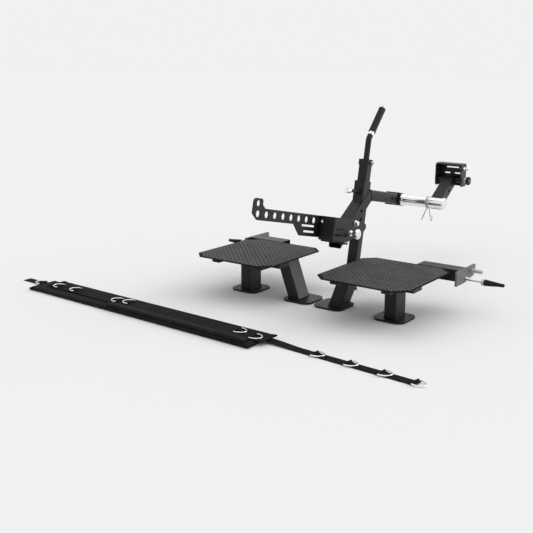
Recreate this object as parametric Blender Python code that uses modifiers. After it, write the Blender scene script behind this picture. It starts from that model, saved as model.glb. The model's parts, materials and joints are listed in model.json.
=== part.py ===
"""Rack-mounted belt squat machine: two foot platforms, a loaded lever on a rear pivot, and its belt.

Metres, +Z up. The origin is on the floor under the lever's rest leg, in the mid-plane (X = 0).
+X is the user's right-hand side of the drawing, +Y runs back towards the lever's pivot.
"""

import math

import bmesh
import bpy
from mathutils import Matrix, Vector

# Shared clearances and stock
FIT_GAP = 0.0003          # between pieces that touch, and around a pin in its hole
TUBE_WALL = 0.003
TUBE_CORNER = 0.005       # outer corner radius of the square tubes
IN_WALL = 0.7 * TUBE_WALL  # depth at which a plug meets the inside of a tube's wall
PLATE = 0.006             # side plates of the lever and the pivot bracket
ROUND_SIDES = 20
SHARP_ANGLE = math.radians(40)

# Foot platforms
DECK_WIDTH = 0.422
DECK_DEPTH = 0.452
DECK_THICKNESS = 0.005
DECK_TOP = 0.186
DECK_CORNER = 0.048
DECK_INNER_X = 0.113      # from the mid-plane to the deck's inner edge
DECK_Y = -0.272
BAR_HEIGHT = 0.025        # bars welded under the deck
RUNNER_WIDTH = 0.040
INNER_RUNNER_X = 0.195
OUTER_RUNNER_X = 0.432
RUNNER_SETBACK = 0.046    # from the deck's front edge
CROSS_BAR_WIDTH = 0.070
CROSS_BAR_Y = -0.073      # from the deck's centre
CROSS_BAR_INNER_X = 0.130
CROSS_BAR_OUTER_X = 0.516
LEG_WIDTH = 0.055
LEG_DEPTH = 0.086
LEG_SETBACK = 0.007       # behind the deck's centre, with the feet
LEG_Y = DECK_Y + LEG_SETBACK
OUTER_LEG_X = 0.3765
INNER_LEG_FOOT_X = 0.102
INNER_LEG_LEAN = math.radians(20.3)
FOOT_SIDE = 0.144
FOOT_THICKNESS = 0.009
FOOT_CORNER = 0.036
OUTER_FOOT_X = 0.376
INNER_FOOT_X = 0.081
FOOT_HOLE = 0.0045
FOOT_HOLE_INSET = 0.024

# Rack fixing on the outer back corner of each platform
ARM_DEPTH = 0.070
ARM_HEIGHT = 0.050
ARM_INNER_X = 0.360
FLANGE_X = 0.552          # inner face of the plate that lies against the rack upright
FLANGE_THICKNESS = 0.008
FLANGE_LENGTH = 0.190
FLANGE_LAP = 0.035        # in front of the deck's back edge
FLANGE_FRONT_Y = DECK_Y + DECK_DEPTH / 2 - FLANGE_LAP
FLANGE_BOTTOM = 0.124
FLANGE_NOTCH = ((0.103, 0), (0.092, 0.030), (0.135, 0.010))  # from the plate's front lower corner
FLANGE_CORNER = ((0.176, 0.014), (0.190, 0.030))
PEG_RADIUS = 0.010
PEG_LENGTH = 0.045
PEG_SETBACK = 0.163       # from the plate's front edge
PEG_Y = FLANGE_FRONT_Y + PEG_SETBACK
PEG_Z = 0.160
LOCK_ROD_RADIUS = 0.004
LOCK_ROD_SETBACK = 0.087
LOCK_ROD_Y = FLANGE_FRONT_Y + LOCK_ROD_SETBACK
LOCK_ROD_Z = 0.138
RACK_UPRIGHT = 0.075      # side of the rack tube that the lock rod passes through
COLLAR_RADIUS = 0.0145
COLLAR_THICKNESS = 0.010
GRIP_LENGTH = 0.086
GRIP_ROOT_RADIUS = 0.0135
GRIP_TIP_RADIUS = 0.0072

# Lever, drawn in its own plane: s runs back along the main tube, n is square to it
LEVER_PITCH = math.radians(11.0)
LEVER_WIDTH = 0.0635
LEVER_HEIGHT = 0.0508
MAIN_TUBE_RISE = 0.4449
BRACE_ANGLE = math.radians(45.0)
BRACE_MEET_RUN = 0.0368     # where the diagonal's centre line meets the main tube's
BRACE_END_Y = -0.139      # the diagonal's free end, cut upright
ARM_MEET_RUN = 0.8035       # where the rear arm's centre line meets the main tube's
REAR_ARM_LENGTH = 0.2031  # from that point to the pivot
BRACE_HOLE_RUN = -0.039
TUBE_HOLE = 0.008
CROSS_LUG_U = -0.099       # flat bar across the diagonal's free end, in the belt arm's frame
CROSS_LUG_HALF = 0.063
CROSS_LUG_DEPTH = 0.026
CROSS_LUG_THICKNESS = 0.008
SIZE_HOLE_RUN = 0.2387
SIZE_HOLE_PITCH = 0.0400
SIZE_HOLE_COUNT = 5
REAR_HOLE = 0.092         # back from the pivot
BEARING_INSET = 0.001     # bearing block's ends, from the tube's sides
POST_SIDE = 0.045
POST_CAP = 0.026          # wider rim round the receiver's mouth
POST_CAP_LAP = 0.003
POST_TOP_RISE = 0.605
REST_LEG_WIDTH = 0.050
REST_LEG_DEPTH = 0.040
REST_PAD_SIDE = 0.052
REST_PAD_HEIGHT = 0.010
SOCKET_WIDTH = 0.054      # block that the post stands in, with the plunger on its front
SOCKET_FRONT = 0.0375
SOCKET_BACK = 0.0265
SOCKET_TOP_RISE = 0.506
POST_PIN_RISE = 0.455
POST_PIN_REACH = 0.099    # from the socket's face to the far end of the knob
HANDLE_PIN_RISE = 0.592
SMALL_PIN = 0.004

# Handle
HANDLE_RADIUS = 0.0135
HANDLE_FOOT_RISE = 0.500
HANDLE_BEND_RISE = 0.700
HANDLE_BEND = math.radians(31.0)
HANDLE_ROD_END = 0.021    # distances along the bent part
HANDLE_BAND_END = 0.038
HANDLE_GRIP_END = 0.176
HANDLE_TIP_END = 0.194
HANDLE_GRIP_RADIUS = 0.0165
HANDLE_BAND_RADIUS = 0.0135
HANDLE_CORE_RADIUS = 0.0070
HANDLE_TIP_RADIUS = 0.0036

# Belt arm, drawn from its bolt on the diagonal: u runs back, v is square to it
BELT_ARM_PITCH = math.radians(12.4)
BELT_BOLT_RUN = -0.0903
BELT_BOLT_RISE = 0.3120
BRACKET_TOP_V = 0.0146
BRACKET_FRONT_U = -0.178
BRACKET_BOTTOM_V = -0.0904
HOOK_HOLE = 0.0142
HOOK_PITCH = 0.0583
HOOK_COUNT = 8
HOOK_FIRST_U = -0.6326
HOOK_V = -0.0099
HOOK_TOP_HOLE_V = 0.0316
HOOK_TIP_U = -0.668
HOOK_TIP_TOP_V = 0.0516
HOOK_TIP_WIDTH = 0.060
HOOK_LOW_V = -0.0354
HOOK_LOBE_V = -0.0814
HOOK_LOBE_U = -0.374
HOOK_END_U = -0.060
SLOT_HALF = 0.0043
HOOK_SLOTS = ((-0.316, -0.212), (-0.298, -0.208))
BRACKET_SLOT_HALF = 0.004
BRACKET_SLOTS = ((-0.154, -0.099), (-0.162, -0.062))
UPPER_SLOT_V = -0.0364
LOWER_SLOT_V = -0.0614
BELT_BOLT_RADIUS = 0.006
BELT_BOLT_HEAD = 0.011
BELT_PIN_U = -0.0375
BELT_PIN_V = -0.0477
BELT_PIN_DISC = 0.023

# Weight sleeve
SLEEVE_RUN = 0.3312
SLEEVE_RADIUS = 0.025
SLEEVE_LENGTH = 0.218
SLEEVE_STEP_RADIUS = 0.029
SLEEVE_STEP = 0.012
CARRIAGE_LENGTH = 0.058
CARRIAGE_WALL = 0.0058
CARRIAGE_EDGE = 0.0015
END_CAP_THICKNESS = 0.008
CLIP_WIRE = 0.0026
CLIP_X = 0.180
CLIP_TURNS = 2
CLIP_PITCH = 0.0064
CLIP_LEG = 0.052
CLIP_SPREAD = 0.021
CLIP_LEAN = 0.014         # of the legs' ends towards the front

# Pivot bracket on the rack's rear crossmember
BRACKET_HALF_WIDTH = 0.0770
BRACKET_FRONT = 0.028     # from the pivot to the side plates' front edge
BRACKET_BACK = 0.034      # from the pivot to the back plate's outer face
BRACKET_BELOW = 0.034
BRACKET_ABOVE = 0.090
BRACKET_CORNER = 0.017
AXLE_RADIUS = 0.008
AXLE_HEAD_RADIUS = 0.013
AXLE_HEAD = 0.009
AXLE_STUD = 0.005
BUSH_RADIUS = 0.014
KNOB_RADIUS = 0.0225
KNOB_THICKNESS = 0.014
KNOB_STAND_OFF = 0.022
SAFETY_PIN_Y = -0.010     # from the pivot
SAFETY_PIN_Z = 0.066
WINDOW_HALF = 0.0036
LOW_WINDOW_Z = 0.034      # above the pivot
HIGH_WINDOW_Z = 0.066
LOW_WINDOW_X = 0.029
LOW_WINDOW_LENGTH = 0.034
HIGH_WINDOW_LENGTH = 0.074

# Belt, laid on the floor in front: x runs along it from the pad's right-hand end
BELT_X = 0.132
BELT_Y = -0.851
BELT_YAW = math.radians(-1.1)
PAD_LENGTH = 1.325
PAD_WIDTH = 0.150
PAD_HEIGHT = 0.017
TOP_STRAP_START = -1.250
TOP_STRAP_END = 0.020
TOP_STRAP_WIDTH = 0.098
TOP_STRAP_OFFSET = 0.023  # from the pad's centre line towards the machine
STRAP_OFFSET = 0.039
STRAP_WIDTH = 0.042
STRAP_THICKNESS = 0.0036
LEFT_STRAP_LENGTH = 0.152
LEFT_STRAP_TUCK = 0.0009  # into the pad's rounded lower edge
RIGHT_STRAP_LENGTH = 0.642
RIGHT_STRAP_YAW = math.radians(-2.4)
RIGHT_STRAP_RISE = (PAD_HEIGHT - STRAP_THICKNESS) / 2
RIGHT_STRAP_FALL = 0.170  # length over which it comes down
RING_WIRE = 0.0026
RING_HALF = 0.0272        # bar's half length, between wire centres
RING_DEPTH = 0.040
KEEPER_LENGTH = 0.024
KEEPER_WALL = 0.0022
END_RING_DROP = math.radians(6.0)
PAD_RINGS = (             # name, place along the pad, offset across it, way that the ring points
    ("pad_ring_1", -1.186, 0.001, -1),
    ("pad_ring_2", -1.076, 0.006, -1),
    ("pad_ring_3", -0.799, 0.010, -1),
    ("pad_ring_4", -0.739, 0.022, -1),
    ("pad_ring_5", -0.136, 0.021, 1),
    ("pad_ring_6", -0.044, 0.003, 1),
)
LEFT_STRAP_SHIFT = 0.012
LEFT_RING_AT = 0.030      # from the pad's left-hand end
RIGHT_RINGS = (0.220, 0.366, 0.506)
END_RING_INSET = 0.005    # of its bar, from the strap's end
END_RING_AT = RIGHT_STRAP_LENGTH - END_RING_INSET

FRAME_BLACK = ((0.022, 0.022, 0.024), 0.0, 0.5)
DECK_BLACK = ((0.030, 0.030, 0.032), 0.0, 0.6)
CHROME = ((0.80, 0.80, 0.82), 1.0, 0.15)
ZINC = ((0.62, 0.62, 0.64), 1.0, 0.35)
RUBBER = ((0.015, 0.015, 0.015), 0.0, 0.8)
WEBBING = ((0.020, 0.020, 0.021), 0.0, 0.9)

SIDES = ((1, "right"), (-1, "left"))


def clear_scene():
    for obj in list(bpy.data.objects):
        bpy.data.objects.remove(obj, do_unlink=True)


def make_collection(name):
    collection = bpy.data.collections.new(name)
    bpy.context.scene.collection.children.link(collection)
    return collection


def finish_material(name, look):
    colour, metallic, roughness = look
    material = bpy.data.materials.new(name)
    material.use_nodes = True
    shader = material.node_tree.nodes["Principled BSDF"]
    shader.inputs["Base Color"].default_value = (*colour, 1.0)
    shader.inputs["Metallic"].default_value = metallic
    shader.inputs["Roughness"].default_value = roughness
    return material


def add_object(name, mesh, look, place=None):
    """One sub-part in the machine's collection, with a material of its own."""
    obj = bpy.data.objects.new(name, mesh)
    PARTS.objects.link(obj)
    mesh.materials.clear()
    mesh.materials.append(finish_material(name, look))
    if place is not None:
        obj.matrix_world = place
    return obj


def add_helper(name, mesh, place=None):
    """A cutter, or a shape that is joined into a sub-part: never drawn."""
    obj = bpy.data.objects.new(name, mesh)
    CUTTERS.objects.link(obj)
    obj.display_type = "WIRE"
    obj.hide_render = True
    if place is not None:
        obj.matrix_world = place
    return obj


def combine(obj, helper, operation="DIFFERENCE"):
    modifier = obj.modifiers.new(helper.name, "BOOLEAN")
    modifier.operation = operation
    modifier.object = helper
    modifier.solver = "EXACT"


def round_edges(obj, width, segments=2):
    modifier = obj.modifiers.new("round_edges", "BEVEL")
    modifier.width = width
    modifier.segments = segments
    modifier.limit_method = "ANGLE"


def shade_round(mesh, flat_caps=False):
    """Smooth shading that keeps sharp corners; caps square to the local Z axis can stay flat."""
    mesh.shade_smooth()
    mesh.set_sharp_from_angle(angle=SHARP_ANGLE)
    if flat_caps:
        for face in mesh.polygons:
            face.use_smooth = abs(face.normal.z) < 0.9


def box_mesh(low, high):
    """A block between two corners."""
    low, high = Vector(low), Vector(high)
    size, centre = high - low, (low + high) / 2
    mesh = bpy.data.meshes.new("block")
    bm = bmesh.new()
    bmesh.ops.create_cube(bm, size=1.0, matrix=Matrix.Translation(centre) @ Matrix.Diagonal((*size, 1)))
    bm.to_mesh(mesh)
    bm.free()
    return mesh


def rod_mesh(radius, start, end, sides=ROUND_SIDES, end_radius=None):
    """A round bar or cone along the local Z axis."""
    mesh = bpy.data.meshes.new("bar")
    bm = bmesh.new()
    bmesh.ops.create_cone(
        bm, cap_ends=True, segments=sides, radius1=radius,
        radius2=radius if end_radius is None else end_radius, depth=end - start,
        matrix=Matrix.Translation((0, 0, (start + end) / 2)),
    )
    bm.to_mesh(mesh)
    bm.free()
    shade_round(mesh, flat_caps=True)
    return mesh


def tube_object(name, width, height, start, end, look, place, thickness=TUBE_WALL, corner=TUBE_CORNER):
    """An open square tube along the local X axis; width is along local Z, height along local Y."""
    mesh = box_mesh((start, -height / 2, -width / 2), (end, height / 2, width / 2))
    bm = bmesh.new()
    bm.from_mesh(mesh)
    ends = [face for face in bm.faces if abs(face.normal.x) > 0.5]
    bmesh.ops.delete(bm, geom=ends, context="FACES_ONLY")
    bm.to_mesh(mesh)
    bm.free()
    obj = add_object(name, mesh, look, place)
    if corner:
        round_edges(obj, corner, 3)
    wall = obj.modifiers.new("wall", "SOLIDIFY")
    wall.thickness = thickness
    wall.offset = -1.0
    wall.use_even_offset = True
    return obj


def turned_object(name, profile, look, place, closed=False):
    """A turned piece about the local Z axis. The profile is (radius, height) from top to bottom."""
    mesh = bpy.data.meshes.new(name)
    bm = bmesh.new()
    corners = [bm.verts.new((radius, 0, height)) for radius, height in profile]
    pairs = list(zip(corners, corners[1:]))
    if closed:
        pairs.append((corners[-1], corners[0]))
    edges = [bm.edges.new(pair) for pair in pairs]
    bmesh.ops.spin(
        bm, geom=[*corners, *edges], cent=(0, 0, 0), axis=(0, 0, 1), angle=2 * math.pi,
        steps=ROUND_SIDES, use_merge=True,
    )
    bmesh.ops.remove_doubles(bm, verts=bm.verts, dist=0.000005)
    bmesh.ops.recalc_face_normals(bm, faces=bm.faces)
    bm.to_mesh(mesh)
    bm.free()
    shade_round(mesh)
    return add_object(name, mesh, look, place)


def curve_mesh(curve, weld=0.000005):
    """The mesh of a curve, with its caps welded on."""
    holder = bpy.data.objects.new("outline", curve)
    CUTTERS.objects.link(holder)
    graph = bpy.context.evaluated_depsgraph_get()
    mesh = bpy.data.meshes.new_from_object(holder.evaluated_get(graph))
    bpy.data.objects.remove(holder)
    bm = bmesh.new()
    bm.from_mesh(mesh)
    bmesh.ops.remove_doubles(bm, verts=bm.verts, dist=weld)
    bmesh.ops.recalc_face_normals(bm, faces=bm.faces)
    bm.to_mesh(mesh)
    bm.free()
    return mesh


def plate_mesh(outline, thickness, holes=()):
    """A flat plate in the local XY plane, centred on it, with its holes."""
    curve = bpy.data.curves.new("outline", "CURVE")
    curve.dimensions = "2D"
    curve.fill_mode = "BOTH"
    curve.extrude = thickness / 2
    for loop in (outline, *holes):
        spline = curve.splines.new("POLY")
        spline.points.add(len(loop) - 1)
        for point, (x, y) in zip(spline.points, loop):
            point.co = (x, y, 0, 1)
        spline.use_cyclic_u = True
    mesh = curve_mesh(curve)
    shade_round(mesh, flat_caps=True)
    return mesh


def wire_mesh(points, radius, cyclic=False, resolution=2):
    curve = bpy.data.curves.new("wire", "CURVE")
    curve.dimensions = "3D"
    curve.bevel_depth = radius
    curve.bevel_resolution = resolution
    curve.use_fill_caps = not cyclic
    spline = curve.splines.new("POLY")
    spline.points.add(len(points) - 1)
    for point, co in zip(spline.points, points):
        point.co = (*co, 1)
    spline.use_cyclic_u = cyclic
    mesh = curve_mesh(curve)
    shade_round(mesh)
    return mesh


def circle(radius, centre=(0, 0), sides=ROUND_SIDES):
    steps = [2 * math.pi * (i + 0.5) / sides for i in range(sides)]
    return [(centre[0] + radius * math.cos(a), centre[1] + radius * math.sin(a)) for a in steps]


def rounded(corners, sides=3):
    """An outline from (x, y, radius) corners, each turned with an arc of that radius."""
    loop = []
    for i, (x, y, radius) in enumerate(corners):
        here = Vector((x, y))
        before = (Vector(corners[i - 1][:2]) - here).normalized()
        after = (Vector(corners[(i + 1) % len(corners)][:2]) - here).normalized()
        if radius <= 0:
            loop.append((x, y))
            continue
        half = before.angle(after) / 2
        start = here + before * (radius / math.tan(half))
        end = here + after * (radius / math.tan(half))
        centre = here + (before + after).normalized() * (radius / math.sin(half))
        first = (start - centre)
        turn = first.angle_signed(end - centre)
        for step in range(sides + 1):
            a = -turn * step / sides
            loop.append((
                centre.x + first.x * math.cos(a) - first.y * math.sin(a),
                centre.y + first.x * math.sin(a) + first.y * math.cos(a),
            ))
    return loop


def slot(start, end, level, half):
    """A straight slot with round ends, from start to end along x."""
    turns = [math.pi * step / 6 for step in range(7)]
    right = [(end - half + half * math.sin(a), level - half * math.cos(a)) for a in turns]
    left = [(start + half - half * math.sin(a), level + half * math.cos(a)) for a in turns]
    return right + left


def plane_frame(y, z, pitch):
    """Local x runs back and down by pitch, local y is square to it, local z is world X."""
    back = Vector((0, math.cos(pitch), -math.sin(pitch)))
    up = Vector((0, math.sin(pitch), math.cos(pitch)))
    turn = Matrix((back, up, Vector((1, 0, 0)))).transposed()
    return Matrix.Translation((0, y, z)) @ turn.to_4x4()


def along_x(x, y, z, way=1):
    """A frame whose Z axis points along world +X, or -X."""
    turn = Matrix.Rotation(math.radians(90) * way, 4, "Y")
    return Matrix.Translation((x, y, z)) @ turn


LEVER = plane_frame(0, 0, LEVER_PITCH)
BELT_ARM = plane_frame(*(LEVER @ Vector((BELT_BOLT_RUN, BELT_BOLT_RISE, 0)))[1:], BELT_ARM_PITCH)
PIVOT_RUN = ARM_MEET_RUN + REAR_ARM_LENGTH * math.cos(BRACE_ANGLE)
PIVOT_RISE = MAIN_TUBE_RISE + REAR_ARM_LENGTH * math.sin(BRACE_ANGLE)
PIVOT = LEVER @ Vector((PIVOT_RUN, PIVOT_RISE, 0))
LEVER_MEET = LEVER @ Vector((BRACE_MEET_RUN, MAIN_TUBE_RISE, 0))
BRACE_RISE = LEVER_HEIGHT / 2 / math.cos(BRACE_ANGLE)


def brace_n(s):
    """Height of the diagonal's centre line over s."""
    return MAIN_TUBE_RISE + (s - BRACE_MEET_RUN) * math.tan(BRACE_ANGLE)


def lever_at(s, n, angle=0.0):
    """A frame in the lever's plane, its x axis turned up by angle."""
    return LEVER @ Matrix.Translation((s, n, 0)) @ Matrix.Rotation(angle, 4, "Z")


def trim(obj, name, place):
    """Cuts away what lies on the +x side of place."""
    reach = 0.2
    combine(obj, add_helper(name, box_mesh((0, -reach, -reach), (2 * reach, reach, reach)), place))


def bore(obj, name, radius, start, end, place):
    combine(obj, add_helper(name, rod_mesh(radius, start, end), place))


def hang(objects, name, place):
    """Parents moving pieces to an empty on their joint's axis."""
    empty = bpy.data.objects.new(name, None)
    PARTS.objects.link(empty)
    empty.matrix_world = place
    for obj in objects:
        obj.parent = empty
        obj.matrix_parent_inverse = place.inverted()
    return empty


def build_deck(side, word):
    half_x, half_y, cut = DECK_WIDTH / 2, DECK_DEPTH / 2, DECK_CORNER
    outline = [
        (-half_x, -half_y + cut), (-half_x + cut, -half_y), (half_x - cut, -half_y), (half_x, -half_y + cut),
        (half_x, half_y - cut), (half_x - cut, half_y), (-half_x + cut, half_y), (-half_x, half_y - cut),
    ]
    centre = (side * (DECK_INNER_X + half_x), DECK_Y, DECK_TOP - DECK_THICKNESS / 2)
    mesh = plate_mesh(outline, DECK_THICKNESS)
    return add_object(f"deck_plate_{word}", mesh, DECK_BLACK, Matrix.Translation(centre))


def build_deck_frame(side, word):
    """Cross bar and two runners under the deck, welded to the box arm behind it that meets the rack.

    The inner runner stops at the cross bar, because the inner leg stands behind it.
    """
    top = DECK_TOP - DECK_THICKNESS - FIT_GAP
    front = DECK_Y - DECK_DEPTH / 2 + RUNNER_SETBACK
    back = DECK_Y + DECK_DEPTH / 2 + FIT_GAP
    lap = TUBE_WALL
    cross_front = DECK_Y + CROSS_BAR_Y - CROSS_BAR_WIDTH / 2
    cross_back = cross_front + CROSS_BAR_WIDTH
    bars = [
        (CROSS_BAR_INNER_X, CROSS_BAR_OUTER_X, cross_front, cross_back),
        (INNER_RUNNER_X - RUNNER_WIDTH / 2, INNER_RUNNER_X + RUNNER_WIDTH / 2, front, cross_front + lap),
        (OUTER_RUNNER_X - RUNNER_WIDTH / 2, OUTER_RUNNER_X + RUNNER_WIDTH / 2, front, back + lap),
    ]
    arm_low = DECK_TOP - ARM_HEIGHT
    solids = [(*bar, top - BAR_HEIGHT, top) for bar in bars]
    solids.append((ARM_INNER_X, FLANGE_X - FIT_GAP, back, back + ARM_DEPTH, arm_low, DECK_TOP))
    hollows = [
        (bar[0] + lap, bar[1] - lap, bar[2] + lap, bar[3] - 2 * lap, top - 2 * BAR_HEIGHT, top - lap)
        for bar in bars
    ]
    hollows.append((0, FLANGE_X - lap, back + lap, back + ARM_DEPTH - lap, arm_low + lap, DECK_TOP - lap))
    frame = None
    for i, (x0, x1, y0, y1, z0, z1) in enumerate(solids):
        xs = sorted((side * x0, side * x1))
        mesh = box_mesh((xs[0], y0, z0), (xs[1], y1, z1))
        if frame is None:
            frame = add_object(f"deck_frame_{word}", mesh, FRAME_BLACK)
        else:
            combine(frame, add_helper(f"bar_{word}_{i}", mesh), "UNION")
    for i, (x0, x1, y0, y1, z0, z1) in enumerate(hollows):
        xs = sorted((side * x0, side * x1))
        combine(frame, add_helper(f"hollow_{word}_{i}", box_mesh((xs[0], y0, z0), (xs[1], y1, z1))))


def build_leg(name, foot_x, lean, side):
    """A box tube from the foot plate to the deck, cut level at both ends."""
    bottom = FOOT_THICKNESS + FIT_GAP
    top = DECK_TOP - DECK_THICKNESS - FIT_GAP
    spare = TUBE_WALL * 4
    slant = Matrix.Rotation(side * lean - math.pi / 2, 4, "Y")
    place = Matrix.Translation((side * foot_x, LEG_Y, 0)) @ slant
    start, end = bottom - LEG_WIDTH, top / math.cos(lean) + LEG_WIDTH
    obj = tube_object(name, LEG_WIDTH, LEG_DEPTH, start - spare, end, FRAME_BLACK, place)
    up = Matrix.Rotation(-math.pi / 2, 4, "Y")
    centre = side * (foot_x + DECK_TOP / 2 * math.tan(lean))
    trim(obj, f"{name}_top", Matrix.Translation((centre, LEG_Y, top)) @ up)
    trim(obj, f"{name}_bottom", Matrix.Translation((centre, LEG_Y, bottom)) @ up.inverted())
    return obj


def build_foot(name, x):
    half = FOOT_SIDE / 2
    outline = rounded([(-half, -half, FOOT_CORNER), (half, -half, FOOT_CORNER),
                       (half, half, FOOT_CORNER), (-half, half, FOOT_CORNER)], sides=4)
    reach = half - FOOT_HOLE_INSET
    holes = [circle(FOOT_HOLE, (i * reach, j * reach), 10) for i in (-1, 1) for j in (-1, 1)]
    place = Matrix.Translation((x, LEG_Y, FOOT_THICKNESS / 2))
    return add_object(name, plate_mesh(outline, FOOT_THICKNESS, holes), FRAME_BLACK, place)


def build_rack_flange(side, word):
    """Plate and locating peg that meet the rack upright."""
    low_edge = [(0, 0), *FLANGE_NOTCH, *FLANGE_CORNER]
    outline = [(FLANGE_FRONT_Y + back, FLANGE_BOTTOM + up) for back, up in low_edge]
    outline += [(FLANGE_FRONT_Y + FLANGE_LENGTH, DECK_TOP), (FLANGE_FRONT_Y, DECK_TOP)]
    hole = circle(LOCK_ROD_RADIUS + FIT_GAP, (LOCK_ROD_Y, LOCK_ROD_Z), 12)
    turn = Matrix(((0, 0, 1, 0), (1, 0, 0, 0), (0, 1, 0, 0), (0, 0, 0, 1)))
    place = Matrix.Translation((side * (FLANGE_X + FLANGE_THICKNESS / 2), 0, 0)) @ turn
    obj = add_object(f"rack_flange_{word}", plate_mesh(outline, FLANGE_THICKNESS, [hole]), ZINC, place)
    root = FLANGE_X + FLANGE_THICKNESS / 2
    peg = rod_mesh(PEG_RADIUS, 0, FLANGE_THICKNESS / 2 + PEG_LENGTH, end_radius=PEG_RADIUS * 0.85)
    combine(obj, add_helper(f"peg_{word}", peg, along_x(side * root, PEG_Y, PEG_Z, side)), "UNION")
    return obj


def build_lock_pin(side, word):
    """The rod that passes through the rack upright into the flange, and its hand grip."""
    outer = FLANGE_X + FLANGE_THICKNESS + RACK_UPRIGHT + 2 * FIT_GAP
    tip = FLANGE_X + FIT_GAP
    place = along_x(0, LOCK_ROD_Y, LOCK_ROD_Z, side)
    collar = outer + COLLAR_THICKNESS
    profile = [
        (0, collar + 0.020), (LOCK_ROD_RADIUS, collar + 0.020), (LOCK_ROD_RADIUS, collar),
        (COLLAR_RADIUS, collar), (COLLAR_RADIUS, outer), (LOCK_ROD_RADIUS, outer),
        (LOCK_ROD_RADIUS, tip + 0.002), (LOCK_ROD_RADIUS - 0.0015, tip), (0, tip),
    ]
    pin = turned_object(f"lock_pin_{word}", profile, CHROME, place)
    start, end = collar + FIT_GAP, collar + GRIP_LENGTH
    hole = LOCK_ROD_RADIUS + FIT_GAP
    rounds = [
        (0, end), (GRIP_TIP_RADIUS * 0.8, end), (GRIP_TIP_RADIUS, end - 0.003),
        (0.0085, start + 0.060), (0.0112, start + 0.034), (GRIP_ROOT_RADIUS, start + 0.006),
        (GRIP_ROOT_RADIUS * 0.9, start), (hole, start), (hole, collar + 0.0205), (0, collar + 0.0205),
    ]
    grip = turned_object(f"lock_grip_{word}", rounds, RUBBER, place)
    hang([pin, grip], f"{word}_lock_pin_axis", Matrix.Translation((side * tip, LOCK_ROD_Y, LOCK_ROD_Z)))


def build_platform(side, word):
    build_deck(side, word)
    build_deck_frame(side, word)
    build_leg(f"outer_leg_{word}", OUTER_LEG_X, 0.0, side)
    build_leg(f"inner_leg_{word}", INNER_LEG_FOOT_X, INNER_LEG_LEAN, side)
    build_foot(f"outer_foot_{word}", side * OUTER_FOOT_X)
    build_foot(f"inner_foot_{word}", side * INNER_FOOT_X)
    build_rack_flange(side, word)
    build_lock_pin(side, word)


def build_main_tube():
    """Straight tube between the two mitres, with a row of holes for the weight sleeve."""
    place = lever_at(0, MAIN_TUBE_RISE)
    spare = LEVER_HEIGHT
    obj = tube_object("main_tube", LEVER_WIDTH, LEVER_HEIGHT, BRACE_MEET_RUN - spare, ARM_MEET_RUN + spare,
                      FRAME_BLACK, place)
    mitre = (math.pi - BRACE_ANGLE) / 2 + BRACE_ANGLE
    front = lever_at(BRACE_MEET_RUN + FIT_GAP, MAIN_TUBE_RISE, mitre + math.pi / 2)
    back = lever_at(ARM_MEET_RUN - FIT_GAP, MAIN_TUBE_RISE, mitre - math.pi / 2)
    trim(obj, "main_front_mitre", front)
    trim(obj, "main_back_mitre", back)
    for i in range(SIZE_HOLE_COUNT):
        at = lever_at(SIZE_HOLE_RUN + i * SIZE_HOLE_PITCH, MAIN_TUBE_RISE)
        bore(obj, f"size_hole_{i}", TUBE_HOLE, -LEVER_WIDTH, LEVER_WIDTH, at)
    return obj


def build_diagonal():
    """The brace that carries the belt arm and the post, cut upright at its free end, with a lug across it."""
    length = (LEVER_MEET[1] - BRACE_END_Y) / math.cos(BRACE_ANGLE - LEVER_PITCH)
    place = lever_at(BRACE_MEET_RUN, MAIN_TUBE_RISE, BRACE_ANGLE)
    obj = tube_object("diagonal_tube", LEVER_WIDTH, LEVER_HEIGHT, -length - LEVER_HEIGHT, LEVER_HEIGHT,
                      FRAME_BLACK, place)
    mitre = (math.pi - BRACE_ANGLE) / 2 + BRACE_ANGLE
    trim(obj, "diagonal_mitre", lever_at(BRACE_MEET_RUN - FIT_GAP, MAIN_TUBE_RISE, mitre - math.pi / 2))
    forwards = Matrix.Rotation(-math.pi / 2, 4, "Z")
    trim(obj, "diagonal_end", Matrix.Translation((0, BRACE_END_Y, DECK_TOP)) @ forwards)
    bore(obj, "diagonal_hole", TUBE_HOLE, -LEVER_WIDTH, LEVER_WIDTH,
         lever_at(BRACE_HOLE_RUN, brace_n(BRACE_HOLE_RUN)))
    bore(obj, "belt_bolt_hole", BELT_BOLT_RADIUS + FIT_GAP, -LEVER_WIDTH, LEVER_WIDTH, BELT_ARM)
    pin = BELT_ARM @ Matrix.Translation((BELT_PIN_U, BELT_PIN_V, 0))
    bore(obj, "belt_pin_hole", BELT_BOLT_RADIUS + FIT_GAP, 0, LEVER_WIDTH, pin)
    top, half = BRACKET_BOTTOM_V - FIT_GAP, CROSS_LUG_DEPTH / 2
    lug = box_mesh((CROSS_LUG_U - half, top - CROSS_LUG_THICKNESS, -CROSS_LUG_HALF),
                   (CROSS_LUG_U + half, top, CROSS_LUG_HALF))
    combine(obj, add_helper("cross_lug", lug, BELT_ARM), "UNION")
    return obj


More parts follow.
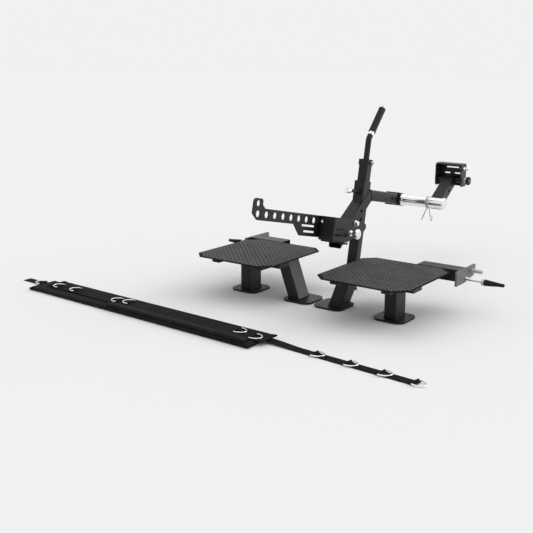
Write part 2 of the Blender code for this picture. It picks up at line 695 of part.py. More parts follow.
def build_rear_arm():
    """The arm that rises to the pivot, with a round bearing block at its end."""
    place = lever_at(ARM_MEET_RUN, MAIN_TUBE_RISE, BRACE_ANGLE)
    obj = tube_object("rear_arm", LEVER_WIDTH, LEVER_HEIGHT, -LEVER_HEIGHT, REAR_ARM_LENGTH,
                      FRAME_BLACK, place)
    mitre = (math.pi - BRACE_ANGLE) / 2 + BRACE_ANGLE
    trim(obj, "rear_mitre", lever_at(ARM_MEET_RUN + FIT_GAP, MAIN_TUBE_RISE, mitre + math.pi / 2))
    half = LEVER_WIDTH / 2 - BEARING_INSET
    block = rod_mesh(LEVER_HEIGHT / 2 - IN_WALL, -half, half, 24)
    at = lever_at(PIVOT_RUN, PIVOT_RISE)
    combine(obj, add_helper("bearing_block", block, at), "UNION")
    bore(obj, "axle_hole", AXLE_RADIUS + FIT_GAP, -LEVER_WIDTH, LEVER_WIDTH, at)
    hole = place @ Matrix.Translation((REAR_ARM_LENGTH - REAR_HOLE, 0, 0))
    bore(obj, "rear_arm_hole", TUBE_HOLE, 0, LEVER_WIDTH, hole)
    return obj


def build_post():
    """Receiver post in its socket above the diagonal, and the rest leg below it, on one line."""
    above = lever_at(0, brace_n(0) + BRACE_RISE + FIT_GAP, BRACE_ANGLE - math.pi / 2)
    below = lever_at(0, brace_n(0) - BRACE_RISE - FIT_GAP, BRACE_ANGLE + math.pi / 2)
    up = lever_at(0, 0, math.pi / 2)
    along_post = LEVER @ Matrix.Rotation(math.radians(-90), 4, "X")
    front = lever_at(0, POST_PIN_RISE) @ Matrix.Rotation(math.radians(-90), 4, "Y")

    receiver = tube_object("receiver_post", POST_SIDE, POST_SIDE, brace_n(0), POST_TOP_RISE, FRAME_BLACK, up)
    rim = POST_SIDE / 2 + POST_CAP_LAP
    cap = box_mesh((POST_TOP_RISE - POST_CAP, -rim, -rim), (POST_TOP_RISE + 0.001, rim, rim))
    combine(receiver, add_helper("post_cap", cap, up), "UNION")
    trim(receiver, "receiver_foot", above)
    bore(receiver, "handle_socket", HANDLE_RADIUS + FIT_GAP, brace_n(0), POST_TOP_RISE + 0.01, along_post)
    bore(receiver, "handle_pin_hole", SMALL_PIN + FIT_GAP, 0, POST_SIDE, lever_at(0, HANDLE_PIN_RISE))
    bore(receiver, "post_pin_hole", SMALL_PIN + FIT_GAP, 0, POST_SIDE, front)

    leg = tube_object("rest_leg", REST_LEG_WIDTH, REST_LEG_DEPTH, -0.02, brace_n(0) + 0.02, FRAME_BLACK, up)
    trim(leg, "leg_head", below)
    floor_cut = Matrix.Translation((0, 0, REST_PAD_HEIGHT + FIT_GAP)) @ Matrix.Rotation(math.pi / 2, 4, "Y")
    trim(leg, "leg_foot", floor_cut)
    side = REST_PAD_SIDE / 2
    pad = add_object("rest_pad", box_mesh((-side, -side, 0), (side, side, REST_PAD_HEIGHT)), RUBBER)
    round_edges(pad, 0.0025)

    half = SOCKET_WIDTH / 2
    solid = box_mesh((-SOCKET_FRONT, brace_n(-0.06), -half), (SOCKET_BACK, SOCKET_TOP_RISE, half))
    socket = add_object("post_socket", solid, FRAME_BLACK, LEVER)
    inner = POST_SIDE / 2 + FIT_GAP
    hole = box_mesh((-inner, 0, -inner), (inner, POST_TOP_RISE, inner))
    combine(socket, add_helper("socket_hole", hole, LEVER))
    trim(socket, "socket_foot", above)
    bore(socket, "socket_pin_hole", SMALL_PIN + FIT_GAP, 0, SOCKET_FRONT * 2, front)
    return [receiver, leg, pad, socket]


def build_post_pin():
    """Spring plunger in the block, pulled forwards by its knob."""
    face = SOCKET_FRONT + FIT_GAP
    tip = HANDLE_RADIUS + 0.0006
    far = face + POST_PIN_REACH
    place = lever_at(0, POST_PIN_RISE) @ Matrix.Rotation(math.radians(-90), 4, "Y")
    profile = [
        (0, far), (0.009, far), (0.013, far - 0.004), (0.013, far - 0.022), (0.009, far - 0.028),
        (0.0055, far - 0.030), (0.0055, face + 0.012), (0.0105, face + 0.010), (0.0105, face),
        (SMALL_PIN, face), (SMALL_PIN, tip + 0.002), (SMALL_PIN - 0.0015, tip), (0, tip),
    ]
    pin = turned_object("post_pin", profile, CHROME, place)
    hang([pin], "post_pin_axis", lever_at(0, POST_PIN_RISE))
    return pin


def build_handle_pin():
    """Small spring plunger on the receiver's right side, under its rim."""
    face = POST_SIDE / 2 + POST_CAP_LAP + FIT_GAP
    tip = HANDLE_RADIUS + 0.0006
    place = lever_at(0, HANDLE_PIN_RISE)
    profile = [
        (0, face + 0.018), (0.003, face + 0.018), (0.004, face + 0.017), (0.004, face + 0.012),
        (0.0085, face + 0.011), (0.0085, face + 0.008), (0.0065, face + 0.007), (0.0065, face),
        (SMALL_PIN, face), (SMALL_PIN, tip + 0.002), (SMALL_PIN - 0.0015, tip), (0, tip),
    ]
    pin = turned_object("handle_pin", profile, ZINC, place)
    hang([pin], "handle_pin_axis", place)
    return pin


def bent(distance):
    """A point on the bent part of the handle, in the lever's plane."""
    return (distance * math.sin(HANDLE_BEND), HANDLE_BEND_RISE + distance * math.cos(HANDLE_BEND), 0)


def build_handle():
    """Bent rod with a chrome core on its end and a rubber grip on the core."""
    turns = 5
    radius = 0.030
    tangent = radius * math.tan(HANDLE_BEND / 2)
    route = [(0, HANDLE_FOOT_RISE, 0)]
    for step in range(turns + 1):
        a = HANDLE_BEND * step / turns
        route.append((radius - radius * math.cos(a), HANDLE_BEND_RISE - tangent + radius * math.sin(a), 0))
    route.append(bent(HANDLE_ROD_END))
    rod = add_object("handle_rod", wire_mesh(route, HANDLE_RADIUS, resolution=4), FRAME_BLACK, LEVER)

    tilt = Matrix.Rotation(-HANDLE_BEND, 4, "Z") @ Matrix.Rotation(math.radians(-90), 4, "X")
    place = lever_at(0, HANDLE_BEND_RISE) @ tilt
    start = HANDLE_ROD_END + FIT_GAP
    band, inner, tip = HANDLE_BAND_RADIUS, HANDLE_CORE_RADIUS, HANDLE_TIP_RADIUS
    core = turned_object("handle_core", [
        (0, HANDLE_TIP_END), (tip - 0.001, HANDLE_TIP_END), (tip, HANDLE_TIP_END - 0.002),
        (tip, HANDLE_GRIP_END + 0.003), (inner, HANDLE_GRIP_END + 0.002), (inner, HANDLE_BAND_END),
        (band, HANDLE_BAND_END - 0.0005), (band, start + 0.002), (band - 0.001, start), (0, start),
    ], CHROME, place)
    hole = inner + FIT_GAP
    outer = HANDLE_GRIP_RADIUS
    low, high = HANDLE_BAND_END + FIT_GAP, HANDLE_GRIP_END
    grip = turned_object("handle_grip", [
        (hole, high), (outer - 0.003, high), (outer, high - 0.003), (outer, low + 0.004),
        (outer + 0.0012, low + 0.002), (outer + 0.0006, low), (hole, low),
    ], RUBBER, place, closed=True)
    return [rod, core, grip]


def build_belt_bracket():
    """Bent plate that straddles the diagonal: two cheeks joined across the front."""
    inside = LEVER_WIDTH / 2 + FIT_GAP
    outside = inside + PLATE
    cheek = rounded([
        (BRACKET_FRONT_U, BRACKET_TOP_V, 0), (BRACKET_FRONT_U, BRACKET_BOTTOM_V, 0.004),
        (-0.0515, BRACKET_BOTTOM_V, 0.006), (0.0880, -0.0323, 0.010), (0.1015, -0.0190, 0.007),
        (0.0985, 0.0010, 0.007), (0.0300, BRACKET_TOP_V, 0.020),
    ])
    holes = [
        circle(BELT_BOLT_RADIUS + FIT_GAP), circle(BELT_BOLT_RADIUS + FIT_GAP, (BELT_PIN_U, BELT_PIN_V)),
        slot(*BRACKET_SLOTS[0], UPPER_SLOT_V, BRACKET_SLOT_HALF),
        slot(*BRACKET_SLOTS[1], LOWER_SLOT_V, BRACKET_SLOT_HALF),
    ]
    mesh = plate_mesh(cheek, 2 * outside, holes)
    obj = add_object("belt_bracket", mesh, FRAME_BLACK, BELT_ARM)
    reach = 0.5
    gap = box_mesh((BRACKET_FRONT_U + PLATE, -reach, -inside), (reach, reach, inside))
    combine(obj, add_helper("bracket_inside", gap, BELT_ARM))
    head = rod_mesh(0.0075, -0.002, 0.005, 12)
    at = BELT_ARM @ Matrix.Translation((BRACKET_FRONT_U, HOOK_V - 0.001, -0.027))
    combine(obj, add_helper("bracket_screw", head, at @ Matrix.Rotation(-math.pi / 2, 4, "Y")), "UNION")
    return obj


def build_hook_plate():
    """The row of round holes that the belt's hook goes into, bolted outside the left cheek."""
    tip = HOOK_TIP_U
    neck = tip + HOOK_TIP_WIDTH
    outline = rounded([
        (tip, HOOK_TIP_TOP_V, 0.018), (tip, -0.0114, 0.008), (tip + 0.034, HOOK_LOW_V, 0.008),
        (HOOK_LOBE_U, HOOK_LOW_V, 0.010), (HOOK_LOBE_U + 0.050, HOOK_LOBE_V, 0.010),
        (HOOK_END_U, HOOK_LOBE_V, 0.004), (HOOK_END_U, BRACKET_TOP_V - 0.001, 0.004),
        (neck + 0.018, BRACKET_TOP_V - 0.001, 0.014), (neck - 0.001, 0.0296, 0.008),
        (neck + 0.002, HOOK_TIP_TOP_V, 0.012),
    ])
    holes = [circle(HOOK_HOLE, (HOOK_FIRST_U + i * HOOK_PITCH, HOOK_V)) for i in range(HOOK_COUNT)]
    holes.append(circle(HOOK_HOLE * 0.9, (HOOK_FIRST_U - 0.004, HOOK_TOP_HOLE_V)))
    holes.append(slot(*HOOK_SLOTS[0], UPPER_SLOT_V, SLOT_HALF))
    holes.append(slot(*HOOK_SLOTS[1], LOWER_SLOT_V, SLOT_HALF))
    outside = LEVER_WIDTH / 2 + FIT_GAP + PLATE + FIT_GAP
    place = BELT_ARM @ Matrix.Translation((0, 0, -outside - PLATE / 2))
    return add_object("hook_plate", plate_mesh(outline, PLATE, holes), FRAME_BLACK, place)


def build_belt_bolt():
    cheek = LEVER_WIDTH / 2 + 2 * FIT_GAP + PLATE
    head, washer = BELT_BOLT_HEAD, BELT_BOLT_HEAD + 0.002
    profile = [
        (0, cheek + 0.010), (0.0045, cheek + 0.0102), (0.0045, cheek + 0.015), (head - 0.001, cheek + 0.015),
        (head, cheek + 0.014), (head, cheek + 0.004), (washer, cheek + 0.0035), (washer, cheek),
        (BELT_BOLT_RADIUS, cheek), (BELT_BOLT_RADIUS, -cheek), (washer, -cheek), (washer, -cheek - 0.002),
        (head, -cheek - 0.002), (head, -cheek - 0.010), (BELT_BOLT_RADIUS, -cheek - 0.010),
        (BELT_BOLT_RADIUS - 0.001, -cheek - 0.014), (0, -cheek - 0.014),
    ]
    return turned_object("belt_bolt", profile, CHROME, BELT_ARM)


def build_belt_pin():
    """Pull pin that locks the belt bracket to the diagonal, with a large chrome disc."""
    face = LEVER_WIDTH / 2 + 2 * FIT_GAP + PLATE
    disc = BELT_PIN_DISC
    tip = LEVER_WIDTH / 2 - 0.010
    profile = [
        (0, face + 0.047), (disc * 0.75, face + 0.047), (disc, face + 0.044), (disc, face + 0.036),
        (disc * 0.75, face + 0.033), (0.006, face + 0.033), (0.006, face + 0.009), (0.013, face + 0.008),
        (0.013, face), (BELT_BOLT_RADIUS, face), (BELT_BOLT_RADIUS, tip + 0.002),
        (BELT_BOLT_RADIUS - 0.002, tip), (0, tip),
    ]
    place = BELT_ARM @ Matrix.Translation((BELT_PIN_U, BELT_PIN_V, 0))
    pin = turned_object("belt_pin", profile, CHROME, place)
    hang([pin], "belt_pin_axis", place)
    return pin


def build_sleeve():
    """Carriage on the main tube, the chrome weight sleeve that it carries, and the sleeve's cap."""
    place = lever_at(SLEEVE_RUN, MAIN_TUBE_RISE)
    spare = 2 * (CARRIAGE_WALL + FIT_GAP)
    width, height = LEVER_WIDTH + spare, LEVER_HEIGHT + spare
    half = CARRIAGE_LENGTH / 2
    carriage = tube_object("sleeve_carriage", width, height, -half, half, FRAME_BLACK, place,
                           thickness=CARRIAGE_WALL, corner=0)
    round_edges(carriage, CARRIAGE_EDGE)
    root = width / 2 + FIT_GAP
    end = root + SLEEVE_LENGTH
    step = root + SLEEVE_STEP
    hollow = SLEEVE_RADIUS - 0.004
    sleeve = turned_object("weight_sleeve", [
        (hollow, end), (SLEEVE_RADIUS, end), (SLEEVE_RADIUS, step), (SLEEVE_STEP_RADIUS, step),
        (SLEEVE_STEP_RADIUS, root), (hollow, root),
    ], CHROME, place, closed=True)
    face = end + FIT_GAP
    cap = turned_object("sleeve_cap", [
        (0, face + END_CAP_THICKNESS + 0.004), (0.006, face + END_CAP_THICKNESS + 0.004),
        (0.006, face + END_CAP_THICKNESS), (SLEEVE_STEP_RADIUS - 0.004, face + END_CAP_THICKNESS),
        (SLEEVE_STEP_RADIUS - 0.001, face + END_CAP_THICKNESS - 0.002), (SLEEVE_STEP_RADIUS - 0.001, face),
        (hollow - FIT_GAP, face), (hollow - FIT_GAP, face - 0.014), (0, face - 0.014),
    ], CHROME, place)
    return [carriage, sleeve, cap]


def build_clip():
    """Sprung wire clip on the sleeve: two turns, and a looped leg at each end to squeeze."""
    radius = SLEEVE_RADIUS + 2 * FIT_GAP + CLIP_WIRE
    per_turn = 18
    count = CLIP_TURNS * per_turn
    start_angle = math.radians(-90)
    points = []
    for i in range(count + 1):
        a = start_angle + 2 * math.pi * i / per_turn
        x = CLIP_PITCH * (i / per_turn - CLIP_TURNS / 2)
        points.append((radius * math.cos(a), radius * math.sin(a), x))

    def leg(x, way):
        """A narrow loop hanging from one end of the coil, leaning outwards."""
        down = [(0.0, 0.30, 0.22), (0.0, 1.0, 0.75), (0.004, 1.10, 0.92), (0.009, 1.0, 0.95),
                (0.0095, 0.62, 0.70)]
        return [(back - CLIP_LEAN * drop, -radius - CLIP_LEG * drop, x + way * CLIP_SPREAD * out)
                for back, drop, out in down]

    head = leg(points[0][2], -1)
    tail = leg(points[-1][2], 1)
    route = list(reversed(head)) + points + tail
    place = lever_at(SLEEVE_RUN, MAIN_TUBE_RISE, LEVER_PITCH) @ Matrix.Translation((0, 0, CLIP_X))
    clip = add_object("spring_clip", wire_mesh(route, CLIP_WIRE), CHROME, place)
    hang([clip], "spring_clip_axis", place)
    return clip


def build_pivot_bracket():
    """Open-fronted box of plate that bolts to the rack's rear crossmember."""
    half = BRACKET_HALF_WIDTH
    y, z = PIVOT[1], PIVOT[2]
    corner = BRACKET_CORNER
    cheek = rounded([
        (y - BRACKET_FRONT, z - BRACKET_BELOW, corner), (y + BRACKET_BACK, z - BRACKET_BELOW, 0.003),
        (y + BRACKET_BACK, z + BRACKET_ABOVE, 0.003), (y - BRACKET_FRONT, z + BRACKET_ABOVE, corner),
    ])
    holes = [
        circle(AXLE_RADIUS + FIT_GAP, (y, z)),
        circle(SMALL_PIN + FIT_GAP, (y + SAFETY_PIN_Y, z + SAFETY_PIN_Z), 12),
    ]
    turn = Matrix(((0, 0, 1, 0), (1, 0, 0, 0), (0, 1, 0, 0), (0, 0, 0, 1)))
    obj = add_object("pivot_bracket", plate_mesh(cheek, 2 * half, holes), FRAME_BLACK, turn)
    reach = 0.3
    inside = box_mesh(
        (-half + PLATE, y - reach, z - reach),
        (half - PLATE, y + BRACKET_BACK - PLATE, z + BRACKET_ABOVE - PLATE),
    )
    combine(obj, add_helper("bracket_hollow", inside))
    through = Matrix.Translation((0, y + BRACKET_BACK, z)) @ Matrix.Rotation(math.radians(90), 4, "X")
    low = LOW_WINDOW_LENGTH / 2
    for i, side in enumerate((-1, 1)):
        window = slot(side * LOW_WINDOW_X - low, side * LOW_WINDOW_X + low, LOW_WINDOW_Z, WINDOW_HALF)
        combine(obj, add_helper(f"window_{i}", plate_mesh(window, 4 * PLATE), through))
    window = slot(-HIGH_WINDOW_LENGTH / 2, HIGH_WINDOW_LENGTH / 2, HIGH_WINDOW_Z, WINDOW_HALF)
    combine(obj, add_helper("window_2", plate_mesh(window, 4 * PLATE), through))
    return obj


def build_axle():
    """Axle bolt through both cheeks and the rear arm, its two spacer bushes and its knob."""
    half = BRACKET_HALF_WIDTH
    place = along_x(0, PIVOT[1], PIVOT[2])
    left = -half - FIT_GAP
    right = half + FIT_GAP
    end = right + KNOB_STAND_OFF + KNOB_THICKNESS
    axle = turned_object("pivot_axle", [
        (0, end), (AXLE_STUD, end), (AXLE_STUD, right + KNOB_STAND_OFF - 0.001),
        (AXLE_RADIUS - 0.001, right + KNOB_STAND_OFF - 0.001), (AXLE_RADIUS - 0.001, right + 0.010),
        (AXLE_HEAD_RADIUS, right + 0.009), (AXLE_HEAD_RADIUS, right), (AXLE_RADIUS, right),
        (AXLE_RADIUS, left), (AXLE_HEAD_RADIUS, left), (AXLE_HEAD_RADIUS, left - AXLE_HEAD),
        (0, left - AXLE_HEAD),
    ], ZINC, place)
    bushes = []
    low = LEVER_WIDTH / 2 + FIT_GAP
    high = half - PLATE - FIT_GAP
    for side, word in SIDES:
        at = along_x(0, PIVOT[1], PIVOT[2], side)
        hole = AXLE_RADIUS + FIT_GAP
        ring = [(hole, high), (BUSH_RADIUS, high), (BUSH_RADIUS, low), (hole, low)]
        bushes.append(turned_object(f"pivot_bush_{word}", ring, ZINC, at, closed=True))
    lobes = 8
    sides = 48
    outline = []
    for i in range(sides):
        a = 2 * math.pi * i / sides
        radius = KNOB_RADIUS - 0.0014 * (1 + math.cos(lobes * a)) / 2
        outline.append((radius * math.cos(a), radius * math.sin(a)))
    knob_x = right + KNOB_STAND_OFF + KNOB_THICKNESS / 2
    knob_place = along_x(knob_x, PIVOT[1], PIVOT[2])
    mesh = plate_mesh(outline, KNOB_THICKNESS, [circle(AXLE_STUD + FIT_GAP)])
    knob = add_object("pivot_knob", mesh, RUBBER, knob_place)
    return [axle, *bushes, knob]


def build_safety_pin():
    """Spring plunger in the bracket's right cheek."""
    face = BRACKET_HALF_WIDTH + FIT_GAP
    tip = BRACKET_HALF_WIDTH - PLATE - 0.010
    place = along_x(0, PIVOT[1] + SAFETY_PIN_Y, PIVOT[2] + SAFETY_PIN_Z)
    pin = turned_object("safety_pin", [
        (0, face + 0.034), (0.006, face + 0.034), (0.008, face + 0.031), (0.008, face + 0.022),
        (0.0035, face + 0.020), (0.0035, face + 0.011), (0.0085, face + 0.010), (0.0085, face),
        (SMALL_PIN, face), (SMALL_PIN, tip + 0.002), (SMALL_PIN - 0.0015, tip), (0, tip),
    ], CHROME, place)
    hang([pin], "safety_pin_axis", place)
    return pin


def belt_at(x, y=0.0, z=0.0):
    place = Matrix.Translation((BELT_X, BELT_Y, 0)) @ Matrix.Rotation(BELT_YAW, 4, "Z")
    return place @ Matrix.Translation((x, y, z))


def keeper_level(surface):
    """Height of a ring's bar over the strap that it is sewn to."""
    return surface + FIT_GAP + RING_WIRE + 0.0005


def add_keeper(strap, name, x, surface, place):
    """A sewn fold of webbing over a ring's bar, left open along the bar."""
    level = keeper_level(surface)
    top = level + RING_WIRE + FIT_GAP + KEEPER_WALL
    half = KEEPER_LENGTH / 2
    side = RING_HALF - RING_WIRE - 0.0030
    fold = box_mesh((x - half, -side, surface - 0.001), (x + half, side, top))
    combine(strap, add_helper(f"{name}_fold", fold, place), "UNION")
    turn = place @ Matrix.Translation((x, 0, level)) @ Matrix.Rotation(math.radians(90), 4, "X")
    bore(strap, f"{name}_channel", RING_WIRE + FIT_GAP, -0.05, 0.05, turn)


def build_ring(name, place, drop=0.0):
    """A D-ring: a straight bar along local Y and a bow towards local +X."""
    steps = 12
    points = []
    for i in range(steps + 1):
        a = math.pi * i / steps
        points.append((RING_DEPTH * math.sin(a), RING_HALF * math.cos(a), 0))
    at = place @ Matrix.Rotation(drop, 4, "Y")
    ring = add_object(name, wire_mesh(points, RING_WIRE, cyclic=True), CHROME, at)
    hang([ring], f"{name}_axis", place)
    return ring


def flip(way):
    return Matrix.Identity(4) if way > 0 else Matrix.Rotation(math.pi, 4, "Z")


def strap_mesh(length, width, rise, fall, steps):
    """A flat strap along local X, whose first part comes down from rise to the floor."""
    mesh = bpy.data.meshes.new("strap")
    bm = bmesh.new()
    rows = []
    for i in range(steps + 1):
        x = fall * i / steps
        level = rise * (1 + math.cos(math.pi * i / steps)) / 2
        rows.append((x, level))
    rows.append((length, 0.0))
    rings = []
    for x, level in rows:
        top = level + STRAP_THICKNESS
        corners = ((-width / 2, level), (width / 2, level), (width / 2, top), (-width / 2, top))
        rings.append([bm.verts.new((x, y, z)) for y, z in corners])
    for one, two in zip(rings, rings[1:]):
        for j in range(4):
            k = (j + 1) % 4
            bm.faces.new((one[j], one[k], two[k], two[j]))
    bm.faces.new(rings[0])
    bm.faces.new(reversed(rings[-1]))
    bmesh.ops.recalc_face_normals(bm, faces=bm.faces)
    bm.to_mesh(mesh)
    bm.free()
    return mesh


def build_belt():
    """Padded belt with a webbing strap along it and a narrow strap at each end."""
    half = PAD_WIDTH / 2
    block = box_mesh((-PAD_LENGTH, -half, 0), (0, half, PAD_HEIGHT))
    pad = add_object("belt_pad", block, WEBBING, belt_at(0))
    round_edges(pad, 0.006)

    low = PAD_HEIGHT + FIT_GAP
    high = low + STRAP_THICKNESS
    near, far = TOP_STRAP_OFFSET - TOP_STRAP_WIDTH / 2, TOP_STRAP_OFFSET + TOP_STRAP_WIDTH / 2
    line = belt_at(0)
    strap = box_mesh((TOP_STRAP_START, near, low), (TOP_STRAP_END, far, high))
    top = add_object("top_strap", strap, WEBBING, line)
    for name, x, across, way in PAD_RINGS:
        at = line @ Matrix.Translation((0, across, 0))
        add_keeper(top, name, x, high, at)
        build_ring(name, at @ Matrix.Translation((x, 0, keeper_level(high))) @ flip(way))

    narrow = STRAP_WIDTH / 2
    level = keeper_level(STRAP_THICKNESS)
    left_line = belt_at(-PAD_LENGTH - FIT_GAP + LEFT_STRAP_TUCK, STRAP_OFFSET - LEFT_STRAP_SHIFT)
    strap = box_mesh((-LEFT_STRAP_LENGTH, -narrow, 0), (0, narrow, STRAP_THICKNESS))
    left = add_object("left_strap", strap, WEBBING, left_line)
    add_keeper(left, "left_ring", -LEFT_RING_AT, STRAP_THICKNESS, left_line)
    build_ring("left_ring", left_line @ Matrix.Translation((-LEFT_RING_AT, 0, level)) @ flip(-1))

    start = FIT_GAP + narrow * math.tan(abs(RIGHT_STRAP_YAW))
    right_line = belt_at(start, STRAP_OFFSET) @ Matrix.Rotation(RIGHT_STRAP_YAW, 4, "Z")
    strap = strap_mesh(RIGHT_STRAP_LENGTH, STRAP_WIDTH, RIGHT_STRAP_RISE, RIGHT_STRAP_FALL, 8)
    right = add_object("right_strap", strap, WEBBING, right_line)
    for i, x in enumerate(RIGHT_RINGS, 1):
        add_keeper(right, f"right_ring_{i}", x, STRAP_THICKNESS, right_line)
        build_ring(f"right_ring_{i}", right_line @ Matrix.Translation((x, 0, level)))
    add_keeper(right, "end_ring", END_RING_AT, STRAP_THICKNESS, right_line)
    build_ring("end_ring", right_line @ Matrix.Translation((END_RING_AT, 0, level)), END_RING_DROP)


def build_lever():
    pieces = [build_main_tube(), build_diagonal(), build_rear_arm(), *build_post(), *build_handle()]
    pieces += [build_belt_bracket(), build_hook_plate(), build_belt_bolt(), *build_sleeve()]
    hang(pieces, "lever_pivot", Matrix.Translation(PIVOT))
    build_post_pin()
    build_handle_pin()
    build_belt_pin()
    build_clip()


clear_scene()
PARTS = make_collection("belt_squat_machine")
CUTTERS = make_collection("cutters")
for SIDE, WORD in SIDES:
    build_platform(SIDE, WORD)
build_lever()
build_pivot_bracket()
build_axle()
build_safety_pin()
build_belt()
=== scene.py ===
"""The rack-mounted belt squat machine with its finishes: powder-coated steel, chrome pins, a webbing belt.

Metres, +Z up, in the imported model's frame. Each finished piece stands exactly where its CAD node is.
"""

import json
import math

import bmesh
import bpy
import numpy as np
from mathutils import Matrix, Vector
from mathutils.bvhtree import BVHTree


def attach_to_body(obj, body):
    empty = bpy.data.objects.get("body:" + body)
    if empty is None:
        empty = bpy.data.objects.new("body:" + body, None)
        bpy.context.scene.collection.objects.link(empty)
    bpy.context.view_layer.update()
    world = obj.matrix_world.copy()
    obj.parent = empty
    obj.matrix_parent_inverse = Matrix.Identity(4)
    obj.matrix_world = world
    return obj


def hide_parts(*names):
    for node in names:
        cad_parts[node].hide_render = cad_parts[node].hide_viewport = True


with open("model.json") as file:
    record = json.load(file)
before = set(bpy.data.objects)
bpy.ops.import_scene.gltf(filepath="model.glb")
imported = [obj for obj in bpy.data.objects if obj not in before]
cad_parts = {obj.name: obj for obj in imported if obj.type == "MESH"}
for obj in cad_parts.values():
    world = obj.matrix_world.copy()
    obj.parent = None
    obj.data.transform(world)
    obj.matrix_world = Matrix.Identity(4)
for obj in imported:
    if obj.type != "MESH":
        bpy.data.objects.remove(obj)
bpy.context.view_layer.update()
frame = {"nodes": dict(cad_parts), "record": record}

BODY_OF = {node: body for body, nodes in frame["record"]["behaviour"]["bodies"].items() for node in nodes}

# Sizes that the solids were drawn from
FIT_GAP = 0.0003          # between pieces that touch, and around a pin in its hole
TUBE_WALL = 0.003
TUBE_CORNER = 0.005       # outer corner radius of the square tubes
IN_WALL = 0.7 * TUBE_WALL  # depth at which a plug meets the inside of a tube's wall
PLATE = 0.006             # side plates of the lever and the pivot bracket

# Foot platforms
DECK_WIDTH = 0.422
DECK_DEPTH = 0.452
DECK_THICKNESS = 0.005
DECK_TOP = 0.186
DECK_CORNER = 0.048
DECK_INNER_X = 0.113      # from the mid-plane to the deck's inner edge
DECK_Y = -0.272
LEG_WIDTH = 0.055
LEG_DEPTH = 0.086
LEG_SETBACK = 0.007       # behind the deck's centre, with the feet
LEG_Y = DECK_Y + LEG_SETBACK
OUTER_LEG_X = 0.3765
INNER_LEG_FOOT_X = 0.102
INNER_LEG_LEAN = math.radians(20.3)
FOOT_SIDE = 0.144
FOOT_THICKNESS = 0.009
FOOT_CORNER = 0.036
OUTER_FOOT_X = 0.376
INNER_FOOT_X = 0.081
FOOT_HOLE = 0.0045
FOOT_HOLE_INSET = 0.024

# Rack fixing on the outer back corner of each platform
ARM_DEPTH = 0.070
ARM_HEIGHT = 0.050
FLANGE_X = 0.552          # inner face of the plate that lies against the rack upright
FLANGE_THICKNESS = 0.008
FLANGE_LENGTH = 0.190
FLANGE_LAP = 0.035        # in front of the deck's back edge
FLANGE_FRONT_Y = DECK_Y + DECK_DEPTH / 2 - FLANGE_LAP
FLANGE_BOTTOM = 0.124
FLANGE_NOTCH = ((0.103, 0), (0.092, 0.030), (0.135, 0.010))  # from the plate's front lower corner
FLANGE_CORNER = ((0.176, 0.014), (0.190, 0.030))
PEG_RADIUS = 0.010
PEG_LENGTH = 0.045
PEG_SETBACK = 0.163       # from the plate's front edge
PEG_Y = FLANGE_FRONT_Y + PEG_SETBACK
PEG_Z = 0.160
LOCK_ROD_RADIUS = 0.004
LOCK_ROD_SETBACK = 0.087
LOCK_ROD_Y = FLANGE_FRONT_Y + LOCK_ROD_SETBACK
LOCK_ROD_Z = 0.138
RACK_UPRIGHT = 0.075      # side of the rack tube that the lock rod passes through
COLLAR_RADIUS = 0.0145
COLLAR_THICKNESS = 0.010
GRIP_LENGTH = 0.086
GRIP_ROOT_RADIUS = 0.0135
GRIP_TIP_RADIUS = 0.0072

# Lever, drawn in its own plane: s runs back along the main tube, n is square to it
LEVER_PITCH = math.radians(11.0)
LEVER_WIDTH = 0.0635
LEVER_HEIGHT = 0.0508
MAIN_TUBE_RISE = 0.4449
BRACE_ANGLE = math.radians(45.0)
BRACE_MEET_RUN = 0.0368   # where the diagonal's centre line meets the main tube's
BRACE_END_Y = -0.139      # the diagonal's free end, cut upright
ARM_MEET_RUN = 0.8035     # where the rear arm's centre line meets the main tube's
REAR_ARM_LENGTH = 0.2031  # from that point to the pivot
BRACE_HOLE_RUN = -0.039
TUBE_HOLE = 0.008
CROSS_LUG_U = -0.099      # flat bar across the diagonal's free end, in the belt arm's frame
CROSS_LUG_HALF = 0.063
CROSS_LUG_DEPTH = 0.026
CROSS_LUG_THICKNESS = 0.008
SIZE_HOLE_RUN = 0.2387
SIZE_HOLE_PITCH = 0.0400
SIZE_HOLE_COUNT = 5
REAR_HOLE = 0.092         # back from the pivot
BEARING_INSET = 0.001     # bearing block's ends, from the tube's sides
POST_SIDE = 0.045
POST_CAP = 0.026          # wider rim round the receiver's mouth
POST_CAP_LAP = 0.003
POST_TOP_RISE = 0.605
REST_LEG_WIDTH = 0.050
REST_LEG_DEPTH = 0.040
REST_PAD_SIDE = 0.052
REST_PAD_HEIGHT = 0.010
SOCKET_WIDTH = 0.054      # block that the post stands in, with the plunger on its front
SOCKET_FRONT = 0.0375
SOCKET_BACK = 0.0265
SOCKET_TOP_RISE = 0.506
POST_PIN_RISE = 0.455
POST_PIN_REACH = 0.099    # from the socket's face to the far end of the knob
HANDLE_PIN_RISE = 0.592
SMALL_PIN = 0.004

# Handle
HANDLE_RADIUS = 0.0135
HANDLE_FOOT_RISE = 0.500
HANDLE_BEND_RISE = 0.700
HANDLE_BEND = math.radians(31.0)
HANDLE_ROD_END = 0.021    # distances along the bent part
HANDLE_BAND_END = 0.038
HANDLE_GRIP_END = 0.176
HANDLE_TIP_END = 0.194
HANDLE_GRIP_RADIUS = 0.0165
HANDLE_BAND_RADIUS = 0.0135
HANDLE_CORE_RADIUS = 0.0070
HANDLE_TIP_RADIUS = 0.0036

